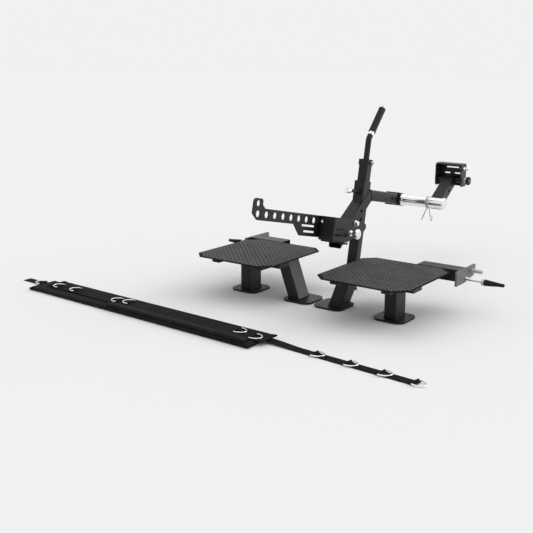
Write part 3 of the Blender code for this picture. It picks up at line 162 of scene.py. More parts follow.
# Belt arm, drawn from its bolt on the diagonal: u runs back, v is square to it
BELT_ARM_PITCH = math.radians(12.4)
BELT_BOLT_RUN = -0.0903
BELT_BOLT_RISE = 0.3120
BRACKET_TOP_V = 0.0146
BRACKET_FRONT_U = -0.178
BRACKET_BOTTOM_V = -0.0904
HOOK_HOLE = 0.0142
HOOK_PITCH = 0.0583
HOOK_COUNT = 8
HOOK_FIRST_U = -0.6326
HOOK_V = -0.0099
HOOK_TOP_HOLE_V = 0.0316
HOOK_TIP_U = -0.668
HOOK_TIP_TOP_V = 0.0516
HOOK_TIP_WIDTH = 0.060
HOOK_LOW_V = -0.0354
HOOK_LOBE_V = -0.0814
HOOK_LOBE_U = -0.374
HOOK_END_U = -0.060
SLOT_HALF = 0.0043
HOOK_SLOTS = ((-0.316, -0.212), (-0.298, -0.208))
BRACKET_SLOT_HALF = 0.004
BRACKET_SLOTS = ((-0.154, -0.099), (-0.162, -0.062))
SLOT_LEVELS = (-0.0364, -0.0614)
BELT_BOLT_RADIUS = 0.006
BELT_BOLT_HEAD = 0.011
BELT_PIN_U = -0.0375
BELT_PIN_V = -0.0477
BELT_PIN_DISC = 0.023

# Weight sleeve
SLEEVE_RUN = 0.3312
SLEEVE_RADIUS = 0.025
SLEEVE_LENGTH = 0.218
SLEEVE_STEP_RADIUS = 0.029
SLEEVE_STEP = 0.012
CARRIAGE_LENGTH = 0.058
CARRIAGE_WALL = 0.0058
END_CAP_THICKNESS = 0.008
CLIP_WIRE = 0.0026
CLIP_X = 0.180
CLIP_TURNS = 2
CLIP_PITCH = 0.0064
CLIP_LEG = 0.052
CLIP_SPREAD = 0.021
CLIP_LEAN = 0.014         # of the legs' ends towards the front

# Pivot bracket on the rack's rear crossmember
BRACKET_HALF_WIDTH = 0.0770
BRACKET_FRONT = 0.028     # from the pivot to the side plates' front edge
BRACKET_BACK = 0.034      # from the pivot to the back plate's outer face
BRACKET_BELOW = 0.034
BRACKET_ABOVE = 0.090
BRACKET_CORNER = 0.017
AXLE_RADIUS = 0.008
AXLE_HEAD_RADIUS = 0.013
AXLE_HEAD = 0.009
AXLE_STUD = 0.005
BUSH_RADIUS = 0.014
KNOB_RADIUS = 0.0225
KNOB_THICKNESS = 0.014
KNOB_STAND_OFF = 0.022
SAFETY_PIN_Y = -0.010     # from the pivot
SAFETY_PIN_Z = 0.066
WINDOW_HALF = 0.0036
LOW_WINDOW_Z = 0.034      # above the pivot
HIGH_WINDOW_Z = 0.066
LOW_WINDOW_X = 0.029
LOW_WINDOW_LENGTH = 0.034
HIGH_WINDOW_LENGTH = 0.074

# Belt, laid on the floor in front: x runs along it from the pad's right-hand end
BELT_X = 0.132
BELT_Y = -0.851
BELT_YAW = math.radians(-1.1)
PAD_LENGTH = 1.325
PAD_WIDTH = 0.150
PAD_HEIGHT = 0.017
TOP_STRAP_START = -1.250
TOP_STRAP_END = 0.020
TOP_STRAP_WIDTH = 0.098
TOP_STRAP_OFFSET = 0.023  # from the pad's centre line towards the machine
STRAP_OFFSET = 0.039
STRAP_WIDTH = 0.042
STRAP_THICKNESS = 0.0036
LEFT_STRAP_LENGTH = 0.152
LEFT_STRAP_TUCK = 0.0009  # into the pad's rounded lower edge
RIGHT_STRAP_LENGTH = 0.642
RIGHT_STRAP_YAW = math.radians(-2.4)
RIGHT_STRAP_RISE = (PAD_HEIGHT - STRAP_THICKNESS) / 2
RIGHT_STRAP_FALL = 0.170  # length over which it comes down
RING_WIRE = 0.0026
RING_HALF = 0.0272        # bar's half length, between wire centres
RING_DEPTH = 0.040
KEEPER_LENGTH = 0.024
KEEPER_WALL = 0.0022
END_RING_DROP = math.radians(6.0)
PAD_RINGS = (             # name, place along the pad, offset across it, way that the ring points
    ("pad_ring_1", -1.186, 0.001, -1),
    ("pad_ring_2", -1.076, 0.006, -1),
    ("pad_ring_3", -0.799, 0.010, -1),
    ("pad_ring_4", -0.739, 0.022, -1),
    ("pad_ring_5", -0.136, 0.021, 1),
    ("pad_ring_6", -0.044, 0.003, 1),
)
LEFT_STRAP_SHIFT = 0.012
LEFT_RING_AT = 0.030      # from the pad's left-hand end
RIGHT_RINGS = (0.220, 0.366, 0.506)
END_RING_INSET = 0.005    # of its bar, from the strap's end
END_RING_AT = RIGHT_STRAP_LENGTH - END_RING_INSET

# Details that only the finish has
TREAD_PITCH = 0.0125
TREAD_BAR = 0.0125
TREAD_WIDTH = 0.0046
TREAD_RISE = 0.0010
ROLL_START, ROLL_END = -0.800, -0.035  # of the loose roll on the pad
ROLL_NEAR, ROLL_FAR = -0.070, -0.031
TREAD_MARGIN = 0.004      # between the bars and the deck's edge
CLIP_HOOK = (             # down each leg of the clip: step back, share of its length, share of its spread
    (0, 0.30, 0.22), (0, 1.0, 0.75), (0.004, 1.10, 0.92), (0.009, 1.0, 0.95), (0.0095, 0.62, 0.70),
)
STRAP_STEP = 0.012        # between the rings of points along a strap
GRIP_RIBS = 11
GRIP_RIB_PITCH = 0.0062
HANDLE_RIBS = 14
KNOB_LOBES = 8
KNOB_DIP = 0.0014         # between two lobes
KNOB_SIDES = 160
PAD_SEAM = 0.011          # from the cover's edge
COVER_MASS = 0.2
COVER_PRESSURE = 4.0      # of the air that blows it up
COVER_STEPS = 20
THREAD_HALF = 0.00042     # half the width of a stitch
THREAD_RISE = 0.00038
WELD_RADIUS = 0.0022
WELD_RIPPLE = 0.0042
WELD_INSET = 0.0012       # from a leg's end
SKIN_GAP = 0.0004         # of a weld or a filling, from the tube's face
LAY_GAP = 0.0001          # under cloth or thread that lies on something
MERGE_GAP = 0.000005      # points nearer to each other than this become one
LEAST_CORNER = 0.0004     # inside a tube
COAT_EDGE = 0.0007        # rounded edge on plate and tube
FINE_EDGE = 0.0004
TURNED_EDGE = 0.0003
CLOTH_EDGE = 0.0003
ROUND = 48                # sides of a turned piece
HOLE_SIDES = 32
SLEEVE_SIDES = 72
SIDES = ((1, "right"), (-1, "left"))


# ---------------- shader maths

class Signal:
    """A value that varies over a surface, kept as a socket, so that sums on it read as sums."""

    def __init__(self, graph, socket):
        self.graph = graph
        self.socket = socket

    def maths(self, operation, *others):
        return self.graph.maths(operation, self, *others)

    def __add__(self, other):
        return self.maths("ADD", other)

    def __mul__(self, other):
        return self.maths("MULTIPLY", other)

    def __sub__(self, other):
        return self.maths("SUBTRACT", other)

    def __rsub__(self, other):
        return self.graph.maths("SUBTRACT", other, self)

    def __abs__(self):
        return self.maths("ABSOLUTE")

    __radd__ = __add__
    __rmul__ = __mul__

    def sine(self):
        return self.maths("SINE")

    def between(self, low, high):
        """0 below low, 1 above high, and a soft step from one to the other."""
        ends = {"Value": self, "From Min": low, "From Max": high}
        return self.graph.node("MapRange", {"interpolation_type": "SMOOTHSTEP"}, ends)


class Graph:
    """Adds nodes to one node tree."""

    def __init__(self, tree):
        self.tree = tree

    def feed(self, socket, value):
        if isinstance(value, Signal):
            self.tree.links.new(value.socket, socket)
        else:
            socket.default_value = value

    def node(self, kind, settings, sockets, out=0):
        """A new node: its settings come first, then the values or links of its sockets."""
        made = self.tree.nodes.new(f"ShaderNode{kind}")
        for key, value in settings.items():
            setattr(made, key, value)
        for key, value in sockets.items():
            self.feed(made.inputs[key], value)
        return Signal(self, made.outputs[out])

    def maths(self, operation, *values):
        return self.node("Math", {"operation": operation}, dict(enumerate(values)))


class Finish(Graph):
    """One material, whose shader is the Principled BSDF."""

    def __init__(self, name, metallic=0.0, roughness=0.5, colour=(0.5, 0.5, 0.5), **fixed):
        self.material = bpy.data.materials.new(name)
        self.material.use_nodes = True
        super().__init__(self.material.node_tree)
        self.shader = self.tree.nodes["Principled BSDF"]
        self.set("Base Color", (*colour, 1.0))
        self.set("Metallic", metallic)
        self.set("Roughness", roughness)
        for socket, value in fixed.items():
            self.set(socket.replace("_", " "), value)

    def set(self, socket, value):
        self.feed(self.shader.inputs[socket], value)

    def place(self, scale=(1, 1, 1)):
        """Where a point lies on the piece, in metres, stretched by scale."""
        at = self.node("TexCoord", {}, {}, "Object")
        return self.node("Mapping", {}, {"Vector": at, "Scale": scale})

    def axes(self, letters):
        """The coordinates of a point on the piece."""
        at = self.place()
        return [self.node("SeparateXYZ", {}, {0: at}, axis) for axis in letters]

    def noise(self, at, scale, detail=2.0, roughness=0.5):
        sockets = {"Vector": at, "Scale": scale, "Detail": detail, "Roughness": roughness}
        return self.node("TexNoise", {"noise_dimensions": "3D"}, sockets)

    def cells(self, at, scale):
        return self.node("TexVoronoi", {"feature": "F1"}, {"Vector": at, "Scale": scale})

    def tint(self, base, other, share):
        """Base colour going over to another by share, which may vary."""
        sockets = {0: share}
        for key, colour in ((6, base), (7, other)):
            sockets[key] = colour if isinstance(colour, Signal) else (*colour, 1.0)
        return self.node("Mix", {"data_type": "RGBA"}, sockets, 2)

    def paint(self, colour, roughness, height, depth, strength):
        """The material with its colour, and with bumps of that depth in metres from a height of 0 to 1."""
        self.set("Base Color", colour)
        self.set("Roughness", roughness)
        sockets = {"Height": height, "Distance": depth, "Strength": strength}
        self.set("Normal", self.node("Bump", {}, sockets))
        return self.material


def shade(colour, gain, lift=0.0):
    """The colour made lighter or darker."""
    return tuple(value * gain + lift for value in colour)


def powder_coat(name, colour, roughness, grain=650.0, gloss=0.28):
    """Baked powder coat: a fine even grain, faint clouds of gloss, and a few light rub marks."""
    coat = Finish(name, roughness=roughness, Specular_IOR_Level=gloss)
    at = coat.place()
    grains = coat.noise(at, grain)
    cloud = coat.noise(at, 7.0, 4.0, 0.6)
    dust = coat.noise(at, 90.0, 6.0, 0.7).between(0.60, 0.78)
    rub = coat.noise(coat.place((9.0, 2.2, 9.0)), 6.0, 5.0, 0.65).between(0.66, 0.80)
    ground = coat.tint(colour, shade(colour, 0.8), cloud.between(0.35, 0.70))
    marks = dust * 0.18 + rub * 0.22 + grains * 0.06
    paint = coat.tint(ground, shade(colour, 1.7, 0.006), marks)
    rough = roughness + (cloud - 0.5) * 0.16 + (grains - 0.5) * 0.08 + rub * 0.10
    return coat.paint(paint, rough, grains * 0.8 + cloud * 0.2, 0.00010, 0.55)


def tread_coat(name, colour, roughness, gloss):
    """Powder coat on tread plate, clouded and scuffed by shoes. The colour given carries dirt and painted
    shade in the recess, and wear and painted light on the raised bars.
    """
    coat = Finish(name, roughness=roughness, Specular_IOR_Level=gloss)
    at = coat.place()
    grains = coat.noise(at, 700.0)
    cloud = coat.noise(at, 8.0, 4.0, 0.6)
    scuff = coat.noise(at, 45.0, 5.0, 0.7).between(0.45, 0.78)
    ground = coat.tint(colour, shade(colour, 0.62), cloud.between(0.3, 0.7))
    paint = coat.tint(ground, shade(colour, 1.9, 0.010), scuff * 0.45)
    rough = roughness + (cloud - 0.5) * 0.14 + (grains - 0.5) * 0.08
    return coat.paint(paint, rough, grains, 0.00012, 0.6)


def chrome(name, roughness, brushed=(1.0, 1.0, 1.0), colour=(0.86, 0.86, 0.88)):
    """Plated steel: bright, with faint polishing lines, water marks and small pits."""
    plating = Finish(name, metallic=1.0, roughness=roughness)
    at = plating.place()
    lines = plating.noise(plating.place(brushed), 420.0, 3.0, 0.6)
    marks = plating.noise(at, 24.0, 5.0, 0.65)
    pits = plating.cells(at, 130.0).between(0.05, 0.14)
    stains = marks.between(0.58, 0.85) * 0.35 + (1 - pits) * 0.25
    paint = plating.tint(colour, shade(colour, 0.72), stains)
    rough = roughness + (marks.between(0.45, 0.80) * 0.10 + lines * 0.05 + (1 - pits) * 0.15)
    return plating.paint(paint, rough, lines * 0.7 + pits * 0.3, 0.00003, 0.35)


def zinc(name, colour, roughness):
    """Passivated steel: soft grey spangle with slight stains."""
    plating = Finish(name, metallic=0.85, roughness=roughness)
    at = plating.place()
    spangle = plating.cells(at, 95.0)
    stain = plating.noise(at, 18.0, 5.0, 0.6)
    grains = plating.noise(at, 520.0)
    marks = spangle * 0.35 + stain.between(0.5, 0.8) * 0.4
    paint = plating.tint(colour, shade(colour, 0.62), marks)
    rough = roughness + spangle * 0.10 + (stain - 0.5) * 0.18
    return plating.paint(paint, rough, grains * 0.7 + spangle * 0.3, 0.00006, 0.4)


def rubber(name, around, along, colour):
    """Moulded rubber with a crossed knurl; around and along are the pattern's lines per metre."""
    grip = Finish(name, roughness=0.72, Specular_IOR_Level=0.25)
    x, y, z = grip.axes("XYZ")
    angle = y.maths("ARCTAN2", x)
    at = grip.place()
    grains = grip.noise(at, 520.0, 3.0)
    dust = grip.noise(at, 30.0, 5.0, 0.7).between(0.52, 0.80)
    knurl = abs((angle * around + z * along).sine()) * abs((angle * around - z * along).sine())
    paint = grip.tint(colour, shade(colour, 2.4, 0.008), dust * 0.35 + knurl * 0.18)
    rough = 0.74 - knurl * 0.10 + (grains - 0.5) * 0.14
    return grip.paint(paint, rough, knurl * 0.8 + grains * 0.2, 0.0004, 0.8)


def webbing(name, colour, pick=0.0026, rib=0.0019):
    """Woven nylon: ribs along the strap, picks across it, faded patches and loose fibres."""
    cloth = Finish(name, roughness=0.85, Specular_IOR_Level=0.08, Sheen_Weight=0.01, Sheen_Roughness=0.5)
    x, y = cloth.axes("XY")
    ribs = (y * (2 * math.pi / rib)).sine()
    picks = (x * (2 * math.pi / pick) + ribs * 1.2).sine()
    weave = ribs * picks * 0.5 + 0.5
    at = cloth.place()
    fibre = cloth.noise(cloth.place((60.0, 400.0, 400.0)), 6.0, 4.0, 0.7)
    fade = cloth.noise(at, 14.0, 4.0, 0.6).between(0.42, 0.78)
    lint = cloth.noise(at, 260.0, 3.0, 0.7).between(0.66, 0.80)
    woven = cloth.tint(shade(colour, 0.55), colour, weave * 0.75 + fibre * 0.25)
    paint = cloth.tint(woven, shade(colour, 2.1, 0.010), fade * 0.30 + lint * 0.20)
    rough = 0.80 + fibre * 0.16 - weave * 0.08
    return cloth.paint(paint, rough, weave * 0.75 + fibre * 0.25, 0.00045, 0.9)


def pad_cloth(name, colour, thread_pitch=0.0016):
    """Plain-woven nylon cover over foam: a square weave, soft creases and a slight sheen."""
    cloth = Finish(name, roughness=0.8, Specular_IOR_Level=0.10, Sheen_Weight=0.015, Sheen_Roughness=0.45)
    x, y = cloth.axes("XY")
    step = 2 * math.pi / thread_pitch
    weave = (x * step).sine() * (y * step).sine() * 0.5 + 0.5
    crease = cloth.noise(cloth.place((5.0, 22.0, 10.0)), 3.0, 5.0, 0.6)
    at = cloth.place()
    fade = cloth.noise(at, 10.0, 4.0, 0.6).between(0.40, 0.75)
    lint = cloth.noise(at, 300.0, 3.0, 0.7).between(0.67, 0.80)
    woven = cloth.tint(shade(colour, 0.6), colour, weave)
    paint = cloth.tint(woven, shade(colour, 2.0, 0.010), fade * 0.30 + lint * 0.20)
    rough = 0.78 + crease * 0.14 - weave * 0.06
    return cloth.paint(paint, rough, weave * 0.35 + crease * 0.65, 0.0011, 0.7)


def thread(name, colour):
    """Twisted sewing thread."""
    line = Finish(name)
    twist = line.noise(line.place(), 1400.0)
    return line.paint(line.tint(colour, shade(colour, 0.5), twist), 0.7, twist, 0.0001, 0.6)


# ---------------- frames that the solids use

def shift(x=0.0, y=0.0, z=0.0):
    return Matrix.Translation((x, y, z))


def turn(angle, axis="Z"):
    return Matrix.Rotation(angle, 4, axis)


def spin(degrees, axis):
    return turn(math.radians(degrees), axis)


def plane_frame(y, z, pitch):
    """Local x runs back and down by pitch, local y is square to it, local z is world X."""
    back = Vector((0, math.cos(pitch), -math.sin(pitch)))
    up = Vector((0, math.sin(pitch), math.cos(pitch)))
    return shift(0, y, z) @ Matrix((back, up, Vector((1, 0, 0)))).transposed().to_4x4()


def along_x(x, y, z, way=1):
    """A frame whose Z axis points along world +X, or -X."""
    return shift(x, y, z) @ spin(90 * way, "Y")


LEVER = plane_frame(0, 0, LEVER_PITCH)
BELT_ARM = plane_frame(*(LEVER @ Vector((BELT_BOLT_RUN, BELT_BOLT_RISE, 0)))[1:], BELT_ARM_PITCH)
PIVOT_RUN = ARM_MEET_RUN + REAR_ARM_LENGTH * math.cos(BRACE_ANGLE)
PIVOT_RISE = MAIN_TUBE_RISE + REAR_ARM_LENGTH * math.sin(BRACE_ANGLE)
PIVOT = LEVER @ Vector((PIVOT_RUN, PIVOT_RISE, 0))
LEVER_MEET = LEVER @ Vector((BRACE_MEET_RUN, MAIN_TUBE_RISE, 0))
BRACE_RISE = LEVER_HEIGHT / 2 / math.cos(BRACE_ANGLE)
QUARTER = math.pi / 2
MITRE = (math.pi + BRACE_ANGLE) / 2     # from a tube's line to the joint's plane, in the lever's frame
SIDE_ON = Matrix(((0, 0, 1, 0), (1, 0, 0, 0), (0, 1, 0, 0), (0, 0, 0, 1)))  # outlines drawn in Y and Z


def brace_n(s):
    """Height of the diagonal's centre line over s."""
    return MAIN_TUBE_RISE + (s - BRACE_MEET_RUN) * math.tan(BRACE_ANGLE)


def lever_at(s, n, angle=0.0):
    return LEVER @ shift(s, n) @ turn(angle)


def arm_at(u, v):
    return BELT_ARM @ shift(u, v)


def belt_at(x, y=0.0):
    return shift(BELT_X, BELT_Y) @ turn(BELT_YAW) @ shift(x, y)


# ---------------- shapes

def to_mesh(bm):
    bmesh.ops.recalc_face_normals(bm, faces=bm.faces)
    mesh = bpy.data.meshes.new("shape")
    bm.to_mesh(mesh)
    bm.free()
    return mesh


def add(name, data):
    obj = bpy.data.objects.new(name, data)
    bpy.context.scene.collection.objects.link(obj)
    return obj


def link(name, mesh, finish=None, place=None):
    obj = add(name, mesh)
    mesh.materials.clear()
    if finish is not None:
        mesh.materials.append(finish)
    if place is not None:
        obj.matrix_world = place
    return obj


def settle(obj):
    """Works the cuts into the mesh and clears away the shapes that made them."""
    bpy.context.view_layer.update()
    graph = bpy.context.evaluated_depsgraph_get()
    mesh = bpy.data.meshes.new_from_object(obj.evaluated_get(graph), depsgraph=graph)
    tools = [modifier.object for modifier in obj.modifiers if modifier.type == "BOOLEAN"]
    obj.modifiers.clear()
    obj.data = mesh
    for tool in tools:
        bpy.data.objects.remove(tool)


def combine(obj, mesh, place, operation="DIFFERENCE"):
    modifier = obj.modifiers.new("cut", "BOOLEAN")
    modifier.operation = operation
    modifier.object = link("tool", mesh, None, place)
    modifier.solver = "EXACT"


def soften(obj, width):
    """Small rounded edges, with flat faces kept flat to the eye."""
    obj.data.shade_smooth()
    edge = obj.modifiers.new("rounded_edges", "BEVEL")
    edge.width = width
    edge.segments = 2
    edge.limit_method = "ANGLE"
    edge.angle_limit = math.radians(32)
    flat = obj.modifiers.new("flat_faces", "WEIGHTED_NORMAL")
    flat.keep_sharp = True


def attach(obj, node):
    """The piece moves with a CAD node's body. Unless its pattern follows its own axes, its place goes into
    its mesh."""
    if obj.data.materials[0] not in PATTERNED:
        obj.data.transform(obj.matrix_world)
        obj.matrix_world = Matrix.Identity(4)
    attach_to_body(obj, BODY_OF[node])


def stand_for(obj, node, edge=COAT_EDGE):
    """The piece takes the CAD node's place."""
    if obj.modifiers:
        settle(obj)
    if edge:
        soften(obj, edge)
    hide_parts(node)
    attach(obj, node)


def piece(node, word, mesh, finish, place, edge=COAT_EDGE):
    """A finished shape that takes the CAD node's place."""
    stand_for(link(f"{node}_{word}", mesh, finish, place), node, edge)


def trim(name, node, mesh, finish, place, edge=0.0):
    """A small piece that a node's solid leaves out, with rounded edges or smooth all over."""
    obj = link(name, mesh, finish, place)
    if edge:
        soften(obj, edge)
    else:
        mesh.shade_smooth()
    attach(obj, node)


def block(low, high):
    low, high = Vector(low), Vector(high)
    bm = bmesh.new()
    matrix = Matrix.Translation((low + high) / 2) @ Matrix.Diagonal((*(high - low), 1))
    bmesh.ops.create_cube(bm, size=1.0, matrix=matrix)
    return to_mesh(bm)


def bar(radius, start, end, sides=ROUND):
    """A round bar along the local Z axis."""
    bm = bmesh.new()
    bmesh.ops.create_cone(bm, cap_ends=True, segments=sides, radius1=radius, radius2=radius,
                          depth=end - start, matrix=shift(0, 0, (start + end) / 2))
    return to_mesh(bm)


def turned(profile, closed=False, sides=ROUND):
    """A turned shape about the local Z axis, from (radius, height) corners."""
    bm = bmesh.new()
    corners = [bm.verts.new((radius, 0, height)) for radius, height in profile]
    ends = corners[1:] + corners[:1] if closed else corners[1:]
    edges = [bm.edges.new(pair) for pair in zip(corners, ends)]
    bmesh.ops.spin(bm, geom=[*corners, *edges], cent=(0, 0, 0), axis=(0, 0, 1),
                   angle=2 * math.pi, steps=sides, use_merge=True)
    bmesh.ops.remove_doubles(bm, verts=bm.verts, dist=MERGE_GAP)
    return to_mesh(bm)


def over(level, *corners):
    """Corners of a turned profile: a radius and a height over the level, both in millimetres."""
    return [(radius / 1000, level + height / 1000) for radius, height in corners]


def upper(radius, height, cut):
    """The bevelled upper edge of a turned profile."""
    return [(radius - cut, height), (radius, height - cut)]


def lower(radius, height, cut):
    return [(radius, height + cut), (radius - cut, height)]


def pin_end(radius, face, tip, taper=0.0015):
    """The plain part of a pin in a turned profile, from a face to its tapered tip."""
    return [(radius, face), (radius, tip + 0.002), (radius - taper, tip), (0, tip)]


def circle(radius, centre=(0, 0), sides=ROUND):
    steps = [2 * math.pi * (i + 0.5) / sides for i in range(sides)]
    return [(centre[0] + radius * math.cos(a), centre[1] + radius * math.sin(a)) for a in steps]


def rounded(corners, sides=8):
    """An outline from (x, y, radius) corners, each made an arc of that radius."""
    loop = []
    for i, (x, y, radius) in enumerate(corners):
        here = Vector((x, y))
        before = (Vector(corners[i - 1][:2]) - here).normalized()
        after = (Vector(corners[(i + 1) % len(corners)][:2]) - here).normalized()
        if radius <= 0:
            loop.append((x, y))
            continue
        half = before.angle(after) / 2
        start = here + before * (radius / math.tan(half))
        end = here + after * (radius / math.tan(half))
        centre = here + (before + after).normalized() * (radius / math.sin(half))
        first = start - centre
        arc = first.angle_signed(end - centre)
        for step in range(sides + 1):
            a = -arc * step / sides
            loop.append((centre.x + first.x * math.cos(a) - first.y * math.sin(a),
                         centre.y + first.x * math.sin(a) + first.y * math.cos(a)))
    return loop


def oblong(half_x, half_y, corner, sides=6):
    """A rectangle about the origin with rounded corners."""
    return rounded([(-half_x, -half_y, corner), (half_x, -half_y, corner),
                    (half_x, half_y, corner), (-half_x, half_y, corner)], sides)


def slot(start, end, level, half):
    """A straight slot with round ends, from start to end along x."""
    turns = [math.pi * step / 16 for step in range(17)]
    right = [(end - half + half * math.sin(a), level - half * math.cos(a)) for a in turns]
    left = [(start + half - half * math.sin(a), level + half * math.cos(a)) for a in turns]
    return right + left


def plate(outline, thickness, holes=()):
    """A flat plate in the local XY plane, centred on it, with its holes."""
    curve = bpy.data.curves.new("outline", "CURVE")
    curve.dimensions = "2D"
    curve.fill_mode = "BOTH"
    curve.extrude = thickness / 2
    for loop in (outline, *holes):
        spline = curve.splines.new("POLY")
        spline.points.add(len(loop) - 1)
        for point, (x, y) in zip(spline.points, loop):
            point.co = (x, y, 0, 1)
        spline.use_cyclic_u = True
    holder = add("outline", curve)
    graph = bpy.context.evaluated_depsgraph_get()
    bm = bmesh.new()
    bm.from_mesh(bpy.data.meshes.new_from_object(holder.evaluated_get(graph)))
    bpy.data.objects.remove(holder)
    bmesh.ops.remove_doubles(bm, verts=bm.verts, dist=MERGE_GAP)
    return to_mesh(bm)


def join_rings(bm, pairs):
    """Faces between each pair of rings of points."""
    for one, two in pairs:
        for j in range(len(one)):
            k = (j + 1) % len(one)
            bm.faces.new((one[j], one[k], two[k], two[j]))


def sweep(path, radius, sides, closed=False):
    """A round bar along a path; radius is a number, or one number for each point."""
    points = [Vector(point) for point in path]
    count = len(points)
    radii = radius if hasattr(radius, "__len__") else [radius] * count
    turns = [2 * math.pi * j / sides for j in range(sides)]
    bm = bmesh.new()
    rings = []
    across = None
    for i, point in enumerate(points):
        before = points[i - 1] if closed or i else point
        after = points[(i + 1) % count] if closed or i + 1 < count else point
        ahead = (after - before).normalized()
        if across is None:
            across = ahead.orthogonal().normalized()
        across = (across - ahead * across.dot(ahead)).normalized()
        other = ahead.cross(across)
        rings.append([bm.verts.new(point + (across * math.cos(a) + other * math.sin(a)) * radii[i])
                      for a in turns])
    join_rings(bm, zip(rings, rings[1:] + rings[:1] if closed else rings[1:]))
    if not closed:
        bm.faces.new(rings[0])
        bm.faces.new(reversed(rings[-1]))
    return to_mesh(bm)


def moved(mesh, place):
    mesh.transform(place)
    return mesh


def coated_tube(name, width, height, start, end, place, cuts=(), wall=TUBE_WALL, corner=TUBE_CORNER):
    """A hollow box tube along the X axis of its place, cut off at each cut's YZ plane."""
    bm = bmesh.new()

    def ring(x, inset):
        loop = oblong(height / 2 - inset, width / 2 - inset, max(corner - inset, LEAST_CORNER))
        return [bm.verts.new((x, *point)) for point in loop]

    rings = [ring(start, 0), ring(end, 0), ring(end, wall), ring(start, wall)]
    join_rings(bm, zip(rings, rings[1:] + rings[:1]))
    for cut in cuts:
        plane = place.inverted() @ cut
        bmesh.ops.bisect_plane(bm, geom=[*bm.verts, *bm.edges, *bm.faces], dist=0.0000001,
                               plane_co=plane.translation, plane_no=plane.col[0].to_3d(), clear_outer=True)
        bmesh.ops.bridge_loops(bm, edges=[edge for edge in bm.edges if edge.is_boundary])
    return link(name, to_mesh(bm), COAT, place)


def weld(name, node, corners, place):
    """A rippled bead of weld round a joint, laid along the corners of a closed line."""
    loop = [Vector(corner) for corner in corners]
    points, radii = [], []
    run = 0.0
    for one, two in zip(loop, loop[1:] + loop[:1]):
        steps = max(2, round((two - one).length / (WELD_RIPPLE / 4)))
        for i in range(steps):
            points.append(one.lerp(two, i / steps))
            radii.append(WELD_RADIUS * (0.86 + 0.14 * math.sin(2 * math.pi * (run + i / 4))))
        run += steps / 4
    trim(name, node, sweep(points, radii, 8, closed=True), WELD_COAT, place)


# ---------------- materials

COAT = powder_coat("frame_powder_coat", (0.0075, 0.0075, 0.0080), 0.34)
# A darker, duller copy of the frame's coat, painted shade: on the deck's sides and underside and on the
# filling inside the main tube.
SHADE_COAT = powder_coat("painted_shade_coat", (0.0035, 0.0035, 0.0037), 0.62, grain=580.0, gloss=0.10)
PLATE_COAT = powder_coat("plate_powder_coat", (0.0085, 0.0085, 0.0090), 0.40, grain=580.0)
WELD_COAT = powder_coat("weld_powder_coat", (0.008, 0.008, 0.0085), 0.44, grain=900.0)
# The tread's recess is painted darker and its raised bars far lighter: partly dirt in the recess and worn bar
# tops, partly painted shade in the recess and painted light on the bars.
TREAD_RECESS_DIRT_AND_SHADE = tread_coat("tread_recess_dirt_and_painted_shade", (0.006, 0.006, 0.0064), 0.60, gloss=0.05)
RAISED_TREAD_WORN_AND_LIT = tread_coat("raised_tread_worn_and_painted_light", (0.130, 0.130, 0.134), 0.34, gloss=0.60)
CHROME = chrome("polished_chrome", 0.09)
TURNED_CHROME = chrome("turned_chrome", 0.11, brushed=(1.0, 1.0, 18.0))
RING_CHROME = chrome("ring_chrome", 0.14)
SPRING_STEEL = chrome("spring_steel", 0.24, colour=(0.46, 0.46, 0.47))
ROD_STEEL = chrome("lock_rod_steel", 0.20, brushed=(1.0, 1.0, 18.0), colour=(0.52, 0.52, 0.53))
ZINC = zinc("zinc_plate", (0.17, 0.17, 0.175), 0.38)
BRIGHT_ZINC = zinc("bright_zinc", (0.55, 0.55, 0.56), 0.28)
GRIP_RUBBER = rubber("grip_rubber", around=20.0, along=1500.0, colour=(0.020, 0.020, 0.020))
SMOOTH_RUBBER = rubber("moulded_rubber", around=10.0, along=300.0, colour=(0.006, 0.006, 0.006))
STRAP_CLOTH = webbing("strap_webbing", (0.0105, 0.0105, 0.011))
NARROW_CLOTH = webbing("narrow_webbing", (0.0095, 0.0095, 0.010), pick=0.0022, rib=0.0016)
PAD_CLOTH = pad_cloth("pad_cover", (0.0090, 0.0090, 0.0095))
ROLL_CLOTH = pad_cloth("roll_cover", (0.017, 0.017, 0.0175))
THREAD = thread("sewing_thread", (0.040, 0.040, 0.042))
PATTERNED = {TREAD_RECESS_DIRT_AND_SHADE, RAISED_TREAD_WORN_AND_LIT, TURNED_CHROME, ROD_STEEL, GRIP_RUBBER, SMOOTH_RUBBER,
             STRAP_CLOTH, NARROW_CLOTH, PAD_CLOTH, ROLL_CLOTH}


# ---------------- foot platforms

def tread_bars(half_x, half_y, cut, top):
    """Raised bars of the tread, laid two ways in turn, kept clear of the plate's edge."""
    bm = bmesh.new()
    long, wide, shoulder = TREAD_BAR / 2, TREAD_WIDTH / 2, TREAD_BAR / 2 * 0.62
    outline = [(-long, 0), (-shoulder, -wide), (shoulder, -wide),
               (long, 0), (shoulder, wide), (-shoulder, wide)]
    columns = int(2 * half_x / TREAD_PITCH)
    rows = int(2 * half_y / TREAD_PITCH)
    for i in range(columns):
        for j in range(rows):
            x = (i - (columns - 1) / 2) * TREAD_PITCH
            y = (j - (rows - 1) / 2) * TREAD_PITCH
            if abs(x) + abs(y) > half_x + half_y - cut - TREAD_BAR * 0.6:
                continue
            place = shift(x, y) @ spin(45 if (i + j) % 2 else -45, "Z")
            low, high = (
                [bm.verts.new(place @ Vector((u * scale, v * scale, level))) for u, v in outline]
                for scale, level in ((1.0, top - TREAD_RISE - LAY_GAP), (0.72, top)))
            bm.faces.new(high)
            join_rings(bm, [(low, high)])
    return to_mesh(bm)


